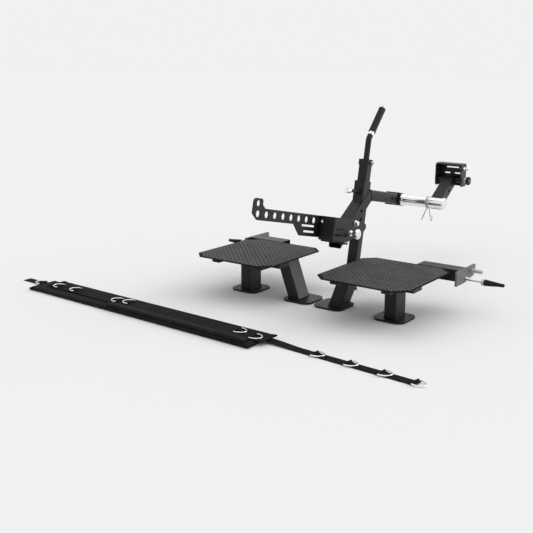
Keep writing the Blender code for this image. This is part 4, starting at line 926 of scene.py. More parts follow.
def make_deck(side, word):
    half_x, half_y, cut, top = DECK_WIDTH / 2, DECK_DEPTH / 2, DECK_CORNER, DECK_THICKNESS / 2
    outline = [
        (-half_x, -half_y + cut), (-half_x + cut, -half_y), (half_x - cut, -half_y), (half_x, -half_y + cut),
        (half_x, half_y - cut), (half_x - cut, half_y), (-half_x + cut, half_y), (-half_x, half_y - cut),
    ]
    node = f"deck_plate_{word}"
    place = shift(side * (DECK_INNER_X + half_x), DECK_Y, DECK_TOP - top)
    base = moved(plate(outline, DECK_THICKNESS - TREAD_RISE), shift(0, 0, -TREAD_RISE / 2))
    # The base's top, the tread's recess, is painted darker: dirt and painted shade.
    obj = link(f"{node}_base", base, TREAD_RECESS_DIRT_AND_SHADE, place)
    # The base's sides and underside take that darker coat: painted shade.
    base.materials.append(SHADE_COAT)
    for face in base.polygons:
        face.material_index = int(face.normal.z < 0.5)
    stand_for(obj, node, edge=0.0005)
    # The raised bars take the far lighter coat: worn tops and painted light.
    bars = tread_bars(half_x - TREAD_MARGIN, half_y - TREAD_MARGIN, cut, top)
    attach(link(f"{node}_tread", bars, RAISED_TREAD_WORN_AND_LIT, place), node)


def make_deck_frame(word):
    """The welded bars keep their solid, with its edges rounded."""
    node = frame["nodes"][f"deck_frame_{word}"]
    node.data.materials.clear()
    node.data.materials.append(COAT)
    soften(node, width=0.0015)


def make_leg(name, foot_x, lean, side):
    bottom = FOOT_THICKNESS + FIT_GAP
    top = DECK_TOP - DECK_THICKNESS - FIT_GAP
    place = shift(side * foot_x, LEG_Y) @ turn(side * lean - QUARTER, "Y")
    cuts = [shift(0, LEG_Y, top) @ spin(-90, "Y"), shift(0, LEG_Y, bottom) @ spin(90, "Y")]
    stretch = 1 / math.cos(lean)
    start, end = bottom - LEG_WIDTH, top * stretch + LEG_WIDTH
    stand_for(coated_tube(f"{name}_tube", LEG_WIDTH, LEG_DEPTH, start, end, place, cuts), name, FINE_EDGE)
    rim = oblong(LEG_WIDTH / 2 + SKIN_GAP, LEG_DEPTH / 2 + SKIN_GAP, TUBE_CORNER, 5)
    for level, word in ((bottom + WELD_INSET, "foot"), (top - WELD_INSET, "head")):
        centre = side * (foot_x + level * math.tan(lean))
        weld(f"{name}_{word}_weld", name, [(x * stretch, y, 0) for x, y in rim], shift(centre, LEG_Y, level))


def make_foot(name, x):
    half = FOOT_SIDE / 2
    reach = half - FOOT_HOLE_INSET
    holes = [circle(FOOT_HOLE, (i * reach, j * reach), 24) for i in (-1, 1) for j in (-1, 1)]
    mesh = plate(oblong(half, half, FOOT_CORNER, 12), FOOT_THICKNESS, holes)
    piece(name, "plate", mesh, PLATE_COAT, shift(x, LEG_Y, FOOT_THICKNESS / 2), edge=0.0012)


def make_rack_flange(side, word):
    node = f"rack_flange_{word}"
    low_edge = [(0, 0), *FLANGE_NOTCH, *FLANGE_CORNER]
    outline = [(FLANGE_FRONT_Y + back, FLANGE_BOTTOM + up, 0.002) for back, up in low_edge]
    outline += [(FLANGE_FRONT_Y + FLANGE_LENGTH, DECK_TOP, 0.002), (FLANGE_FRONT_Y, DECK_TOP, 0.002)]
    hole = circle(LOCK_ROD_RADIUS + FIT_GAP, (LOCK_ROD_Y, LOCK_ROD_Z), HOLE_SIDES)
    centre = side * (FLANGE_X + FLANGE_THICKNESS / 2)
    mesh = plate(rounded(outline, 3), FLANGE_THICKNESS, [hole])
    piece(node, "plate", mesh, ZINC, shift(centre) @ SIDE_ON, edge=0.0008)
    root, tip = FLANGE_THICKNESS / 2, FLANGE_THICKNESS / 2 + PEG_LENGTH
    narrow = PEG_RADIUS * 0.85
    peg = turned([(0, tip), *upper(narrow, tip, 0.0015), (PEG_RADIUS * 0.98, root + 0.004),
                  (PEG_RADIUS, root + 0.002), (PEG_RADIUS + 0.0012, root), (0, root)])
    trim(f"{node}_peg", node, peg, BRIGHT_ZINC, along_x(centre, PEG_Y, PEG_Z, side), FINE_EDGE)
    seam_y = DECK_Y + DECK_DEPTH / 2 + FIT_GAP
    front, back, low, high = seam_y + 0.004, seam_y + ARM_DEPTH, DECK_TOP - ARM_HEIGHT, DECK_TOP - 0.0024
    corners = [(front, low), (back, low), (back, high), (front, high)]
    weld(f"{node}_weld", node, [(side * (FLANGE_X - 0.0008), y, z) for y, z in corners], None)


def make_lock_pin(side, word):
    outer = FLANGE_X + FLANGE_THICKNESS + RACK_UPRIGHT + 2 * FIT_GAP
    place = along_x(0, LOCK_ROD_Y, LOCK_ROD_Z, side)
    collar = outer + COLLAR_THICKNESS
    rod, rim, neck = LOCK_ROD_RADIUS, COLLAR_RADIUS, COLLAR_RADIUS - 0.0012
    pin = turned([
        (0, collar + 0.020), (rod, collar + 0.020), (rod, collar), *upper(rim, collar, 0.001),
        (rim, outer + 0.0045), (neck, outer + 0.0040), (neck, outer + 0.0030), (rim, outer + 0.0025),
        (rim, outer), *pin_end(rod, outer, FLANGE_X + FIT_GAP),
    ])
    piece(f"lock_pin_{word}", "rod", pin, ROD_STEEL, place, TURNED_EDGE)
    start, end = collar + FIT_GAP, collar + GRIP_LENGTH
    root, tip, hole = GRIP_ROOT_RADIUS, GRIP_TIP_RADIUS, LOCK_ROD_RADIUS + FIT_GAP
    heights = start + 0.006, start + 0.034, start + 0.060, end - 0.003
    radii = root, 0.0112, 0.0085, tip
    rounds = [(0, end), (tip * 0.6, end), (tip * 0.9, end - 0.0010), (tip, end - 0.003)]
    for i in reversed(range(GRIP_RIBS)):
        for offset, depth in ((0.0030, 0.0), (0.0020, 0.0009), (0.0010, 0.0009), (0.0, 0.0)):
            at = start + 0.012 + GRIP_RIB_PITCH * i + offset
            rounds.append((float(np.interp(at, heights, radii)) - depth, at))
    rounds += [(root, start + 0.006), (root, start + 0.003), (root * 0.9, start), (hole, start),
               (hole, collar + 0.0205), (0, collar + 0.0205)]
    piece(f"lock_grip_{word}", "ribbed", turned(rounds), SMOOTH_RUBBER, place, TURNED_EDGE)


def make_platform(side, word):
    make_deck(side, word)
    make_deck_frame(word)
    make_leg(f"outer_leg_{word}", OUTER_LEG_X, 0.0, side)
    make_leg(f"inner_leg_{word}", INNER_LEG_FOOT_X, INNER_LEG_LEAN, side)
    make_foot(f"outer_foot_{word}", side * OUTER_FOOT_X)
    make_foot(f"inner_foot_{word}", side * INNER_FOOT_X)
    make_rack_flange(side, word)
    make_lock_pin(side, word)


# ---------------- lever

def drill(obj, radius, place, start=-LEVER_WIDTH, end=LEVER_WIDTH):
    combine(obj, bar(radius, start, end, HOLE_SIDES), place)


def make_main_tube():
    place = lever_at(0, MAIN_TUBE_RISE)
    front = lever_at(BRACE_MEET_RUN + FIT_GAP, MAIN_TUBE_RISE, MITRE + QUARTER)
    back = lever_at(ARM_MEET_RUN - FIT_GAP, MAIN_TUBE_RISE, MITRE - QUARTER)
    start, end = BRACE_MEET_RUN - LEVER_HEIGHT, ARM_MEET_RUN + LEVER_HEIGHT
    obj = coated_tube("main_tube_coated", LEVER_WIDTH, LEVER_HEIGHT, start, end, place, [front, back])
    holes = [SIZE_HOLE_RUN + i * SIZE_HOLE_PITCH for i in range(SIZE_HOLE_COUNT)]
    for run in holes:
        drill(obj, TUBE_HOLE, lever_at(run, MAIN_TUBE_RISE))
    stand_for(obj, "main_tube", FINE_EDGE)

    # A dark filling inside the tube, painted shade, keeps the floor from showing through the holes
    half_y, half_z = (size / 2 - TUBE_WALL - SKIN_GAP for size in (LEVER_HEIGHT, LEVER_WIDTH))
    shade_filling = block((holes[0] - 0.02, -half_y, -half_z), (holes[-1] + 0.02, half_y, half_z))
    trim("main_tube_shade_filling", "main_tube", shade_filling, SHADE_COAT, place, edge=0.001)

    half_y = LEVER_HEIGHT / 2 / math.sin(MITRE) + SKIN_GAP
    rim = [(0, y, z) for y, z in oblong(half_y, LEVER_WIDTH / 2 + SKIN_GAP, TUBE_CORNER, 5)]
    for word, run in (("front", BRACE_MEET_RUN), ("back", ARM_MEET_RUN)):
        weld(f"{word}_mitre_weld", "main_tube", rim, lever_at(run, MAIN_TUBE_RISE, MITRE - QUARTER))


def make_diagonal():
    length = (LEVER_MEET[1] - BRACE_END_Y) / math.cos(BRACE_ANGLE - LEVER_PITCH)
    place = lever_at(BRACE_MEET_RUN, MAIN_TUBE_RISE, BRACE_ANGLE)
    mitre = lever_at(BRACE_MEET_RUN - FIT_GAP, MAIN_TUBE_RISE, MITRE - QUARTER)
    end = shift(0, BRACE_END_Y, DECK_TOP) @ spin(-90, "Z")
    obj = coated_tube("diagonal_tube_coated", LEVER_WIDTH, LEVER_HEIGHT, -length - LEVER_HEIGHT,
                      LEVER_HEIGHT, place, [mitre, end])
    drill(obj, TUBE_HOLE, lever_at(BRACE_HOLE_RUN, brace_n(BRACE_HOLE_RUN)))
    drill(obj, BELT_BOLT_RADIUS + FIT_GAP, BELT_ARM)
    drill(obj, BELT_BOLT_RADIUS + FIT_GAP, arm_at(BELT_PIN_U, BELT_PIN_V), 0)
    top, half = BRACKET_BOTTOM_V - FIT_GAP, CROSS_LUG_DEPTH / 2
    lug = block((CROSS_LUG_U - half, top - CROSS_LUG_THICKNESS, -CROSS_LUG_HALF),
                (CROSS_LUG_U + half, top, CROSS_LUG_HALF))
    combine(obj, lug, BELT_ARM, "UNION")
    stand_for(obj, "diagonal_tube", FINE_EDGE)


def make_rear_arm():
    place = lever_at(ARM_MEET_RUN, MAIN_TUBE_RISE, BRACE_ANGLE)
    mitre = lever_at(ARM_MEET_RUN + FIT_GAP, MAIN_TUBE_RISE, MITRE + QUARTER)
    obj = coated_tube("rear_arm_coated", LEVER_WIDTH, LEVER_HEIGHT, -LEVER_HEIGHT,
                      REAR_ARM_LENGTH, place, [mitre])
    pivot = lever_at(PIVOT_RUN, PIVOT_RISE)
    half = LEVER_WIDTH / 2 - BEARING_INSET
    combine(obj, bar(LEVER_HEIGHT / 2 - IN_WALL, -half, half), pivot, "UNION")
    drill(obj, AXLE_RADIUS + FIT_GAP, pivot)
    drill(obj, TUBE_HOLE, place @ shift(REAR_ARM_LENGTH - REAR_HOLE), 0)
    stand_for(obj, "rear_arm", FINE_EDGE)


UP_POST = lever_at(0, 0, QUARTER)
POST_PIN_LINE = lever_at(0, POST_PIN_RISE) @ spin(-90, "Y")
OVER_BRACE = lever_at(0, brace_n(0) + BRACE_RISE + FIT_GAP, BRACE_ANGLE - QUARTER)
UNDER_BRACE = lever_at(0, brace_n(0) - BRACE_RISE - FIT_GAP, BRACE_ANGLE + QUARTER)


def make_receiver():
    obj = coated_tube("receiver_post_coated", POST_SIDE, POST_SIDE, brace_n(0), POST_TOP_RISE,
                      UP_POST, [OVER_BRACE])
    rim = POST_SIDE / 2 + POST_CAP_LAP
    cap = plate(oblong(rim, rim, 0.006), POST_CAP + 0.001)
    middle = POST_TOP_RISE + 0.0005 - POST_CAP / 2
    combine(obj, cap, UP_POST @ shift(middle) @ spin(90, "Y"), "UNION")
    drill(obj, HANDLE_RADIUS + FIT_GAP, LEVER @ spin(-90, "X"), brace_n(0), POST_TOP_RISE + 0.01)
    drill(obj, SMALL_PIN + FIT_GAP, lever_at(0, HANDLE_PIN_RISE), 0)
    drill(obj, SMALL_PIN + FIT_GAP, POST_PIN_LINE, 0)
    stand_for(obj, "receiver_post", edge=0.0009)


def make_rest():
    floor = shift(0, 0, REST_PAD_HEIGHT + FIT_GAP) @ spin(90, "Y")
    leg = coated_tube("rest_leg_coated", REST_LEG_WIDTH, REST_LEG_DEPTH, -0.02, brace_n(0) + 0.02,
                      UP_POST, [UNDER_BRACE, floor])
    stand_for(leg, "rest_leg", FINE_EDGE)
    stretch = 1 / math.cos(BRACE_ANGLE)
    rim = oblong(REST_LEG_DEPTH / 2, REST_LEG_WIDTH / 2, TUBE_CORNER, 5)
    weld("rest_leg_weld", "rest_leg", [(0, y * stretch, z) for y, z in rim], UNDER_BRACE)
    side = REST_PAD_SIDE / 2
    pad = plate(oblong(side, side, 0.007), REST_PAD_HEIGHT)
    piece("rest_pad", "moulded", pad, SMOOTH_RUBBER, shift(0, 0, REST_PAD_HEIGHT / 2), edge=0.0022)


def make_socket():
    half = SOCKET_WIDTH / 2
    outline = rounded([(-SOCKET_FRONT, -half, 0.007), (SOCKET_BACK, -half, 0.004),
                       (SOCKET_BACK, half, 0.004), (-SOCKET_FRONT, half, 0.007)], 6)
    low = brace_n(-0.06)
    upright = shift(0, (low + SOCKET_TOP_RISE) / 2) @ spin(90, "X")
    mesh = moved(plate([(x, -z) for x, z in outline], SOCKET_TOP_RISE - low), upright)
    obj = link("post_socket_coated", mesh, COAT, LEVER)
    inner = POST_SIDE / 2 + FIT_GAP
    combine(obj, block((-inner, 0, -inner), (inner, POST_TOP_RISE, inner)), LEVER)
    reach = 0.2
    combine(obj, block((0, -reach, -reach), (2 * reach, reach, reach)), OVER_BRACE)
    drill(obj, SMALL_PIN + FIT_GAP, POST_PIN_LINE, 0, SOCKET_FRONT * 2)
    stand_for(obj, "post_socket", edge=0.0010)


def make_plungers():
    face = SOCKET_FRONT + FIT_GAP
    far = face + POST_PIN_REACH
    tip = HANDLE_RADIUS + 0.0006
    pin = turned([
        *over(far, (0, 0), (8.5, 0), (11.8, -1.4), (13, -4.5), (13, -10.5), (12.2, -11.5), (12.2, -13),
              (13, -14), (13, -21), (11.5, -25.5), (9, -28), (5.5, -30)),
        (0.0055, face + 0.001), *pin_end(SMALL_PIN, face + 0.001, tip),
    ])
    piece("post_pin", "turned", pin, CHROME, POST_PIN_LINE, TURNED_EDGE)
    barrel = turned([
        *over(far, (5.3, -29.8), (7.2, -30.2)),
        *over(face, (7.8, 13), (10.5, 10), (10.5, 5.5), (9.5, 5), (9.5, 3.5), (10.5, 3), (10.5, 0), (5.3, 0)),
    ], closed=True)
    trim("post_pin_barrel", "post_pin", barrel, PLATE_COAT, POST_PIN_LINE, TURNED_EDGE)

    face = POST_SIDE / 2 + POST_CAP_LAP + FIT_GAP
    pin = turned([
        *over(face, (0, 18), (3, 18), (4, 17), (4, 12), (7.8, 11.2), (8.5, 10.3), (8.5, 8.5),
              (6.5, 7), (6.5, 0)),
        *pin_end(SMALL_PIN, face, tip),
    ])
    piece("handle_pin", "turned", pin, BRIGHT_ZINC, lever_at(0, HANDLE_PIN_RISE), TURNED_EDGE)

    face = LEVER_WIDTH / 2 + 2 * FIT_GAP + PLATE
    disc = [(share * BELT_PIN_DISC, face + height) for share, height in (
        (0, 0.0460), (0.30, 0.0462), (0.72, 0.0470), (0.90, 0.0458), (1, 0.0430),
        (1, 0.0375), (0.90, 0.0345), (0.70, 0.0332))]
    pin = turned([
        *disc,
        *over(face, (6, 33), (6, 9.5), (10, 8.8), (13, 7), (13, 4.5), (12.2, 4), (12.2, 2.8),
              (13, 2.4), (13, 0)),
        *pin_end(BELT_BOLT_RADIUS, face, LEVER_WIDTH / 2 - 0.010, 0.002),
    ], sides=64)
    piece("belt_pin", "turned", pin, CHROME, arm_at(BELT_PIN_U, BELT_PIN_V), FINE_EDGE)


def make_handle_core(place):
    start = HANDLE_ROD_END + FIT_GAP
    end, tip, inner, band = HANDLE_TIP_END, HANDLE_TIP_RADIUS, HANDLE_CORE_RADIUS, HANDLE_BAND_RADIUS
    core = turned([
        (0, end), (tip - 0.0015, end), (tip - 0.0003, end - 0.0008), (tip, end - 0.002),
        (tip, HANDLE_GRIP_END + 0.003), (inner, HANDLE_GRIP_END + 0.002), (inner, HANDLE_BAND_END),
        (band, HANDLE_BAND_END - 0.0005), (band, start + 0.002), (band - 0.001, start), (0, start),
    ])
    obj = link("handle_core_turned", core, CHROME, place)
    core.materials.append(SPRING_STEEL)
    for face in core.polygons:
        face.material_index = int(face.center.z > HANDLE_GRIP_END)
    stand_for(obj, "handle_core", TURNED_EDGE)


def make_handle_grip(place):
    hole, outer = HANDLE_CORE_RADIUS + FIT_GAP, HANDLE_GRIP_RADIUS
    low, high = HANDLE_BAND_END + FIT_GAP, HANDLE_GRIP_END
    groove, ridge = outer - 0.0007, outer - 0.0002
    rounds = [(hole, high), (outer - 0.003, high), (outer - 0.0008, high - 0.001), (outer, high - 0.003),
              (outer, high - 0.009), (groove, high - 0.010)]
    for i in range(HANDLE_RIBS):
        at = high - 0.012 - i * (high - low - 0.024) / (HANDLE_RIBS - 1)
        rounds += [(groove, at + 0.0008), (ridge, at + 0.0002), (ridge, at - 0.0030), (groove, at - 0.0036)]
    rounds += [(groove, low + 0.0066), (outer, low + 0.006), (outer, low + 0.004),
               (outer + 0.0012, low + 0.002), (outer + 0.0006, low), (hole, low)]
    piece("handle_grip", "ribbed", turned(rounds, closed=True), GRIP_RUBBER, place, edge=0.0002)


def make_handle():
    radius = 0.030
    start = HANDLE_BEND_RISE - radius * math.tan(HANDLE_BEND / 2)
    turns = [HANDLE_BEND * step / 14 for step in range(15)]
    route = [(0, HANDLE_FOOT_RISE, 0), (0, start - 0.03, 0)]
    route += [(radius - radius * math.cos(a), start + radius * math.sin(a), 0) for a in turns]
    route.append((HANDLE_ROD_END * math.sin(HANDLE_BEND),
                  HANDLE_BEND_RISE + HANDLE_ROD_END * math.cos(HANDLE_BEND), 0))
    piece("handle_rod", "coated", sweep(route, HANDLE_RADIUS, 36), COAT, LEVER, FINE_EDGE)
    place = lever_at(0, HANDLE_BEND_RISE, -HANDLE_BEND) @ spin(-90, "X")
    make_handle_core(place)
    make_handle_grip(place)


def make_belt_bracket():
    """Bent plate: its two bends are rounded, then it is cut to the cheeks' outline."""
    inside = LEVER_WIDTH / 2 + FIT_GAP
    outside = inside + PLATE
    bend, inner_bend = 0.0065, 0.0015
    front, back = BRACKET_FRONT_U, 0.12
    profile = rounded([
        (front, -outside, bend), (back, -outside, 0), (back, -inside, 0),
        (front + PLATE, -inside, inner_bend), (front + PLATE, inside, inner_bend),
        (back, inside, 0), (back, outside, 0), (front, outside, bend),
    ], 6)
    obj = link("belt_bracket_coated", moved(plate(profile, 0.4), spin(-90, "X")), PLATE_COAT, BELT_ARM)
    cheek = rounded([
        (front - 0.02, BRACKET_TOP_V, 0), (front - 0.02, BRACKET_BOTTOM_V, 0),
        (-0.0515, BRACKET_BOTTOM_V, 0.006), (0.0880, -0.0323, 0.010), (0.1015, -0.0190, 0.007),
        (0.0985, 0.0010, 0.007), (0.0300, BRACKET_TOP_V, 0.020),
    ])
    holes = [circle(BELT_BOLT_RADIUS + FIT_GAP, at) for at in ((0, 0), (BELT_PIN_U, BELT_PIN_V))]
    holes += [slot(*ends, level, BRACKET_SLOT_HALF) for ends, level in zip(BRACKET_SLOTS, SLOT_LEVELS)]
    combine(obj, plate(cheek, 0.3, holes), BELT_ARM, "INTERSECT")
    stand_for(obj, "belt_bracket", edge=0.0006)
    head = turned(over(0, (0, 5), (4.5, 4.8), (6.8, 3.2), (7.5, 1), (7.5, -1), (0, -1)))
    place = arm_at(front, HOOK_V - 0.001) @ shift(0, 0, -0.027) @ spin(-90, "Y")
    screw = link("bracket_screw", head, CHROME, place)
    combine(screw, bar(0.0028, 0.0022, 0.02, 6), place)
    settle(screw)
    soften(screw, TURNED_EDGE)
    attach(screw, "belt_bracket")


def make_hook_plate():
    tip = HOOK_TIP_U
    neck = tip + HOOK_TIP_WIDTH
    outline = rounded([
        (tip, HOOK_TIP_TOP_V, 0.018), (tip, -0.0114, 0.008), (tip + 0.034, HOOK_LOW_V, 0.008),
        (HOOK_LOBE_U, HOOK_LOW_V, 0.010), (HOOK_LOBE_U + 0.050, HOOK_LOBE_V, 0.010),
        (HOOK_END_U, HOOK_LOBE_V, 0.004), (HOOK_END_U, BRACKET_TOP_V - 0.001, 0.004),
        (neck + 0.018, BRACKET_TOP_V - 0.001, 0.014), (neck - 0.001, 0.0296, 0.008),
        (neck + 0.002, HOOK_TIP_TOP_V, 0.012),
    ])
    holes = [circle(HOOK_HOLE, (HOOK_FIRST_U + i * HOOK_PITCH, HOOK_V)) for i in range(HOOK_COUNT)]
    holes.append(circle(HOOK_HOLE * 0.9, (HOOK_FIRST_U - 0.004, HOOK_TOP_HOLE_V)))
    holes += [slot(*ends, level, SLOT_HALF) for ends, level in zip(HOOK_SLOTS, SLOT_LEVELS)]
    depth = -(LEVER_WIDTH / 2 + FIT_GAP + PLATE + FIT_GAP) - PLATE / 2
    piece("hook_plate", "coated", plate(outline, PLATE, holes), PLATE_COAT, BELT_ARM @ shift(0, 0, depth))


def make_belt_bolt():
    cheek = LEVER_WIDTH / 2 + 2 * FIT_GAP + PLATE
    shank, head, washer = BELT_BOLT_RADIUS, BELT_BOLT_HEAD, BELT_BOLT_HEAD + 0.002
    bolt = turned([
        *over(cheek, (0, 10), (4.5, 10), (4.5, 14.8)), (head - 0.0015, cheek + 0.0148),
        (head, cheek + 0.0133), (head, cheek + 0.0035), (washer - 0.0003, cheek + 0.0030),
        (washer, cheek + 0.0020), (washer, cheek), (shank, cheek), (shank, -cheek), (washer, -cheek),
        (washer, -cheek - 0.002), (shank, -cheek - 0.002), (shank, -cheek - 0.0125),
        (shank - 0.0012, -cheek - 0.014), (0, -cheek - 0.014),
    ])
    piece("belt_bolt", "turned", bolt, CHROME, BELT_ARM, TURNED_EDGE)
    nut = plate(circle(head, sides=6), 0.0078, [circle(shank + 0.0002)])
    place = BELT_ARM @ shift(0, 0, -cheek - 0.0061)
    trim("belt_bolt_nut", "belt_bolt", nut, BRIGHT_ZINC, place, edge=0.0005)


def make_sleeve():
    place = lever_at(SLEEVE_RUN, MAIN_TUBE_RISE)
    spare = 2 * (CARRIAGE_WALL + FIT_GAP)
    width, half = LEVER_WIDTH + spare, CARRIAGE_LENGTH / 2
    carriage = coated_tube("sleeve_carriage_coated", width, LEVER_HEIGHT + spare, -half, half, place,
                           wall=CARRIAGE_WALL, corner=0.0022)
    stand_for(carriage, "sleeve_carriage", edge=0.0010)
    root = width / 2 + FIT_GAP
    end, step = root + SLEEVE_LENGTH, root + SLEEVE_STEP
    outer, wide, hollow = SLEEVE_RADIUS, SLEEVE_STEP_RADIUS, SLEEVE_RADIUS - 0.004
    sleeve = turned([
        (hollow, end), *upper(outer, end, 0.0008), (outer, step + 0.0015), (outer + 0.0012, step),
        *upper(wide, step, 0.001), *lower(wide, root, 0.001), (hollow, root),
    ], closed=True, sides=SLEEVE_SIDES)
    piece("weight_sleeve", "turned", sleeve, TURNED_CHROME, place, FINE_EDGE)
    face = end + FIT_GAP
    back, rim, plug = face + END_CAP_THICKNESS, wide - 0.001, hollow - FIT_GAP
    cap = turned([
        *over(back, (0, 3.2), (4.8, 3.0), (6, 1.8), (6.2, 0)), (rim - 0.006, back),
        (rim - 0.0022, back - 0.0008), (rim, back - 0.0030), *lower(rim, face, 0.0008),
        (plug, face), (plug, face - 0.014), (0, face - 0.014),
    ], sides=SLEEVE_SIDES)
    piece("sleeve_cap", "turned", cap, CHROME, place, TURNED_EDGE)


def make_clip():
    radius = SLEEVE_RADIUS + 2 * FIT_GAP + CLIP_WIRE
    per_turn = 40
    coil = []
    for i in range(CLIP_TURNS * per_turn + 1):
        turns = i / per_turn
        a = 2 * math.pi * turns - QUARTER
        coil.append((radius * math.cos(a), radius * math.sin(a), CLIP_PITCH * (turns - CLIP_TURNS / 2)))

    def leg(x, way):
        return [(back - CLIP_LEAN * drop, -radius - CLIP_LEG * drop, x + way * CLIP_SPREAD * out)
                for back, drop, out in CLIP_HOOK]

    route = [*reversed(leg(coil[0][2], -1)), *coil, *leg(coil[-1][2], 1)]
    place = lever_at(SLEEVE_RUN, MAIN_TUBE_RISE, LEVER_PITCH) @ shift(0, 0, CLIP_X)
    piece("spring_clip", "wire", sweep(route, CLIP_WIRE, 14), SPRING_STEEL, place, FINE_EDGE)


# ---------------- pivot

def make_pivot_bracket():
    half = BRACKET_HALF_WIDTH
    y, z = PIVOT[1:]
    front, back, low, high = y - BRACKET_FRONT, y + BRACKET_BACK, z - BRACKET_BELOW, z + BRACKET_ABOVE
    cheek = rounded([(front, low, BRACKET_CORNER), (back, low, 0.003),
                     (back, high, 0.003), (front, high, BRACKET_CORNER)])
    holes = [circle(AXLE_RADIUS + FIT_GAP, (y, z)),
             circle(SMALL_PIN + FIT_GAP, (y + SAFETY_PIN_Y, z + SAFETY_PIN_Z), 24)]
    obj = link("pivot_bracket_coated", plate(cheek, 2 * half, holes), PLATE_COAT, SIDE_ON)
    reach = 0.3
    room = block((PLATE - half, y - reach, z - reach), (half - PLATE, back - PLATE, high - PLATE))
    combine(obj, room, None)
    through = shift(0, back, z) @ spin(90, "X")
    for centre, length, level in ((-LOW_WINDOW_X, LOW_WINDOW_LENGTH, LOW_WINDOW_Z),
                                  (LOW_WINDOW_X, LOW_WINDOW_LENGTH, LOW_WINDOW_Z),
                                  (0, HIGH_WINDOW_LENGTH, HIGH_WINDOW_Z)):
        window = slot(centre - length / 2, centre + length / 2, level, WINDOW_HALF)
        combine(obj, plate(window, 4 * PLATE), through)
    stand_for(obj, "pivot_bracket", edge=0.0008)


def make_axle():
    half = BRACKET_HALF_WIDTH
    y, z = PIVOT[1:]
    left, right = -half - FIT_GAP, half + FIT_GAP
    knob_face = right + KNOB_STAND_OFF
    end = knob_face + KNOB_THICKNESS
    stud, rod, head = AXLE_STUD, AXLE_RADIUS, AXLE_HEAD_RADIUS
    axle = turned([
        (0, end), *upper(stud, end, 0.0008), (stud, knob_face - 0.001), (rod - 0.001, knob_face - 0.001),
        (rod - 0.001, right + 0.0095), (head - 0.0012, right + 0.009), (head, right + 0.0078),
        (head, right), (rod, right), (rod, left), (head, left),
        *lower(head, left - AXLE_HEAD, 0.002), (0, left - AXLE_HEAD),
    ])
    piece("pivot_axle", "turned", axle, BRIGHT_ZINC, along_x(0, y, z), TURNED_EDGE)
    low, high = LEVER_WIDTH / 2 + FIT_GAP, half - PLATE - FIT_GAP
    hole, outer = AXLE_RADIUS + FIT_GAP, BUSH_RADIUS
    for side, word in SIDES:
        ring = [(hole, high), *upper(outer, high, 0.0008), *lower(outer, low, 0.0008), (hole, low)]
        bush = turned(ring, closed=True)
        piece(f"pivot_bush_{word}", "turned", bush, PLATE_COAT, along_x(0, y, z, side), edge=0.0002)
    outline = []
    for i in range(KNOB_SIDES):
        a = 2 * math.pi * i / KNOB_SIDES
        radius = KNOB_RADIUS - KNOB_DIP * (1 + math.cos(KNOB_LOBES * a)) / 2
        outline.append((radius * math.cos(a), radius * math.sin(a)))
    knob = plate(outline, KNOB_THICKNESS, [circle(AXLE_STUD + FIT_GAP)])
    place = along_x(knob_face + KNOB_THICKNESS / 2, y, z)
    piece("pivot_knob", "moulded", knob, SMOOTH_RUBBER, place, edge=0.0016)


def make_safety_pin():
    face = BRACKET_HALF_WIDTH + FIT_GAP
    pin = turned([
        *over(face, (0, 34), (5.5, 34), (7.3, 32.5), (8, 30), (8, 22.5), (3.5, 20), (3.5, 11.5),
              (7.8, 10.8), (8.5, 9.8), (8.5, 0)),
        *pin_end(SMALL_PIN, face, BRACKET_HALF_WIDTH - PLATE - 0.010),
    ])
    place = along_x(0, PIVOT[1] + SAFETY_PIN_Y, PIVOT[2] + SAFETY_PIN_Z)
    piece("safety_pin", "turned", pin, CHROME, place, TURNED_EDGE)


# ---------------- belt

def strap_shape(line, half, thick, columns=10):
    """Webbing along (x, z) points on its underside, with rounded selvedges; half is half its width."""
    lip = thick * 0.45
    bottom = [(-half + lip + (2 * half - 2 * lip) * i / columns, 0.0) for i in range(columns + 1)]
    right = [(half - lip + lip * math.sin(a), (1 - math.cos(a)) * thick / 2) for a in (0.8, 1.57, 2.34)]
    top = [(y, thick) for y, z in reversed(bottom)]
    left = [(-y, z) for y, z in reversed(right)]
    section = bottom + right + top + left
    bm = bmesh.new()
    rings = []
    for i, (x, z) in enumerate(line):
        before = Vector(line[max(i - 1, 0)])
        after = Vector(line[min(i + 1, len(line) - 1)])
        ahead = (after - before).normalized()
        rings.append([bm.verts.new((x - ahead.y * up, y, z + ahead.x * up)) for y, up in section])
    join_rings(bm, zip(rings, rings[1:]))
    bm.faces.new(rings[0])
    bm.faces.new(reversed(rings[-1]))
    return to_mesh(bm)


def seam(name, node, runs, place, pitch=0.0042, length=0.0029):
    """A row of separate stitches along each run of points, lying on the cloth."""
    bm = bmesh.new()
    up = Vector((0, 0, 1))
    for run in runs:
        points = [Vector(point) for point in run]
        for one, two in zip(points, points[1:]):
            ahead = (two - one).normalized()
            across = ahead.cross(up).normalized() * THREAD_HALF
            count = max(1, int((two - one).length / pitch))
            for i in range(count):
                middle = one.lerp(two, (i + 0.5) / count)
                ends = [bm.verts.new(middle + ahead * (length / 2 * way)) for way in (-1, 1)]
                sides = (across, up * THREAD_RISE, -across, up * -THREAD_RISE)
                ring = [bm.verts.new(middle + side) for side in sides]
                for near, far in zip(ring, ring[1:] + ring[:1]):
                    bm.faces.new((ends[0], near, far))
                    bm.faces.new((ends[1], far, near))
    trim(name, node, to_mesh(bm), THREAD, place)


def borders(left, right, half, level):
    """A seam along each edge of a strap."""
    return [[(left, y, level), (right, y, level)] for y in (-half, half)]


def crossings(places, half, level):
    """Seams across a strap."""
    return [[(x, -half, level), (x, half, level)] for x in places]


def box_stitch(left, right, half, level):
    """A sewn box with its cross."""
    corners = [(left, -half, level), (right, -half, level), (right, half, level), (left, half, level)]
    return [*zip(corners, corners[1:] + corners[:1]), (corners[0], corners[2]), (corners[1], corners[3])]


def point_array(mesh):
    points = np.zeros(len(mesh.vertices) * 3)
    mesh.vertices.foreach_get("co", points)
    return points.reshape(-1, 3)


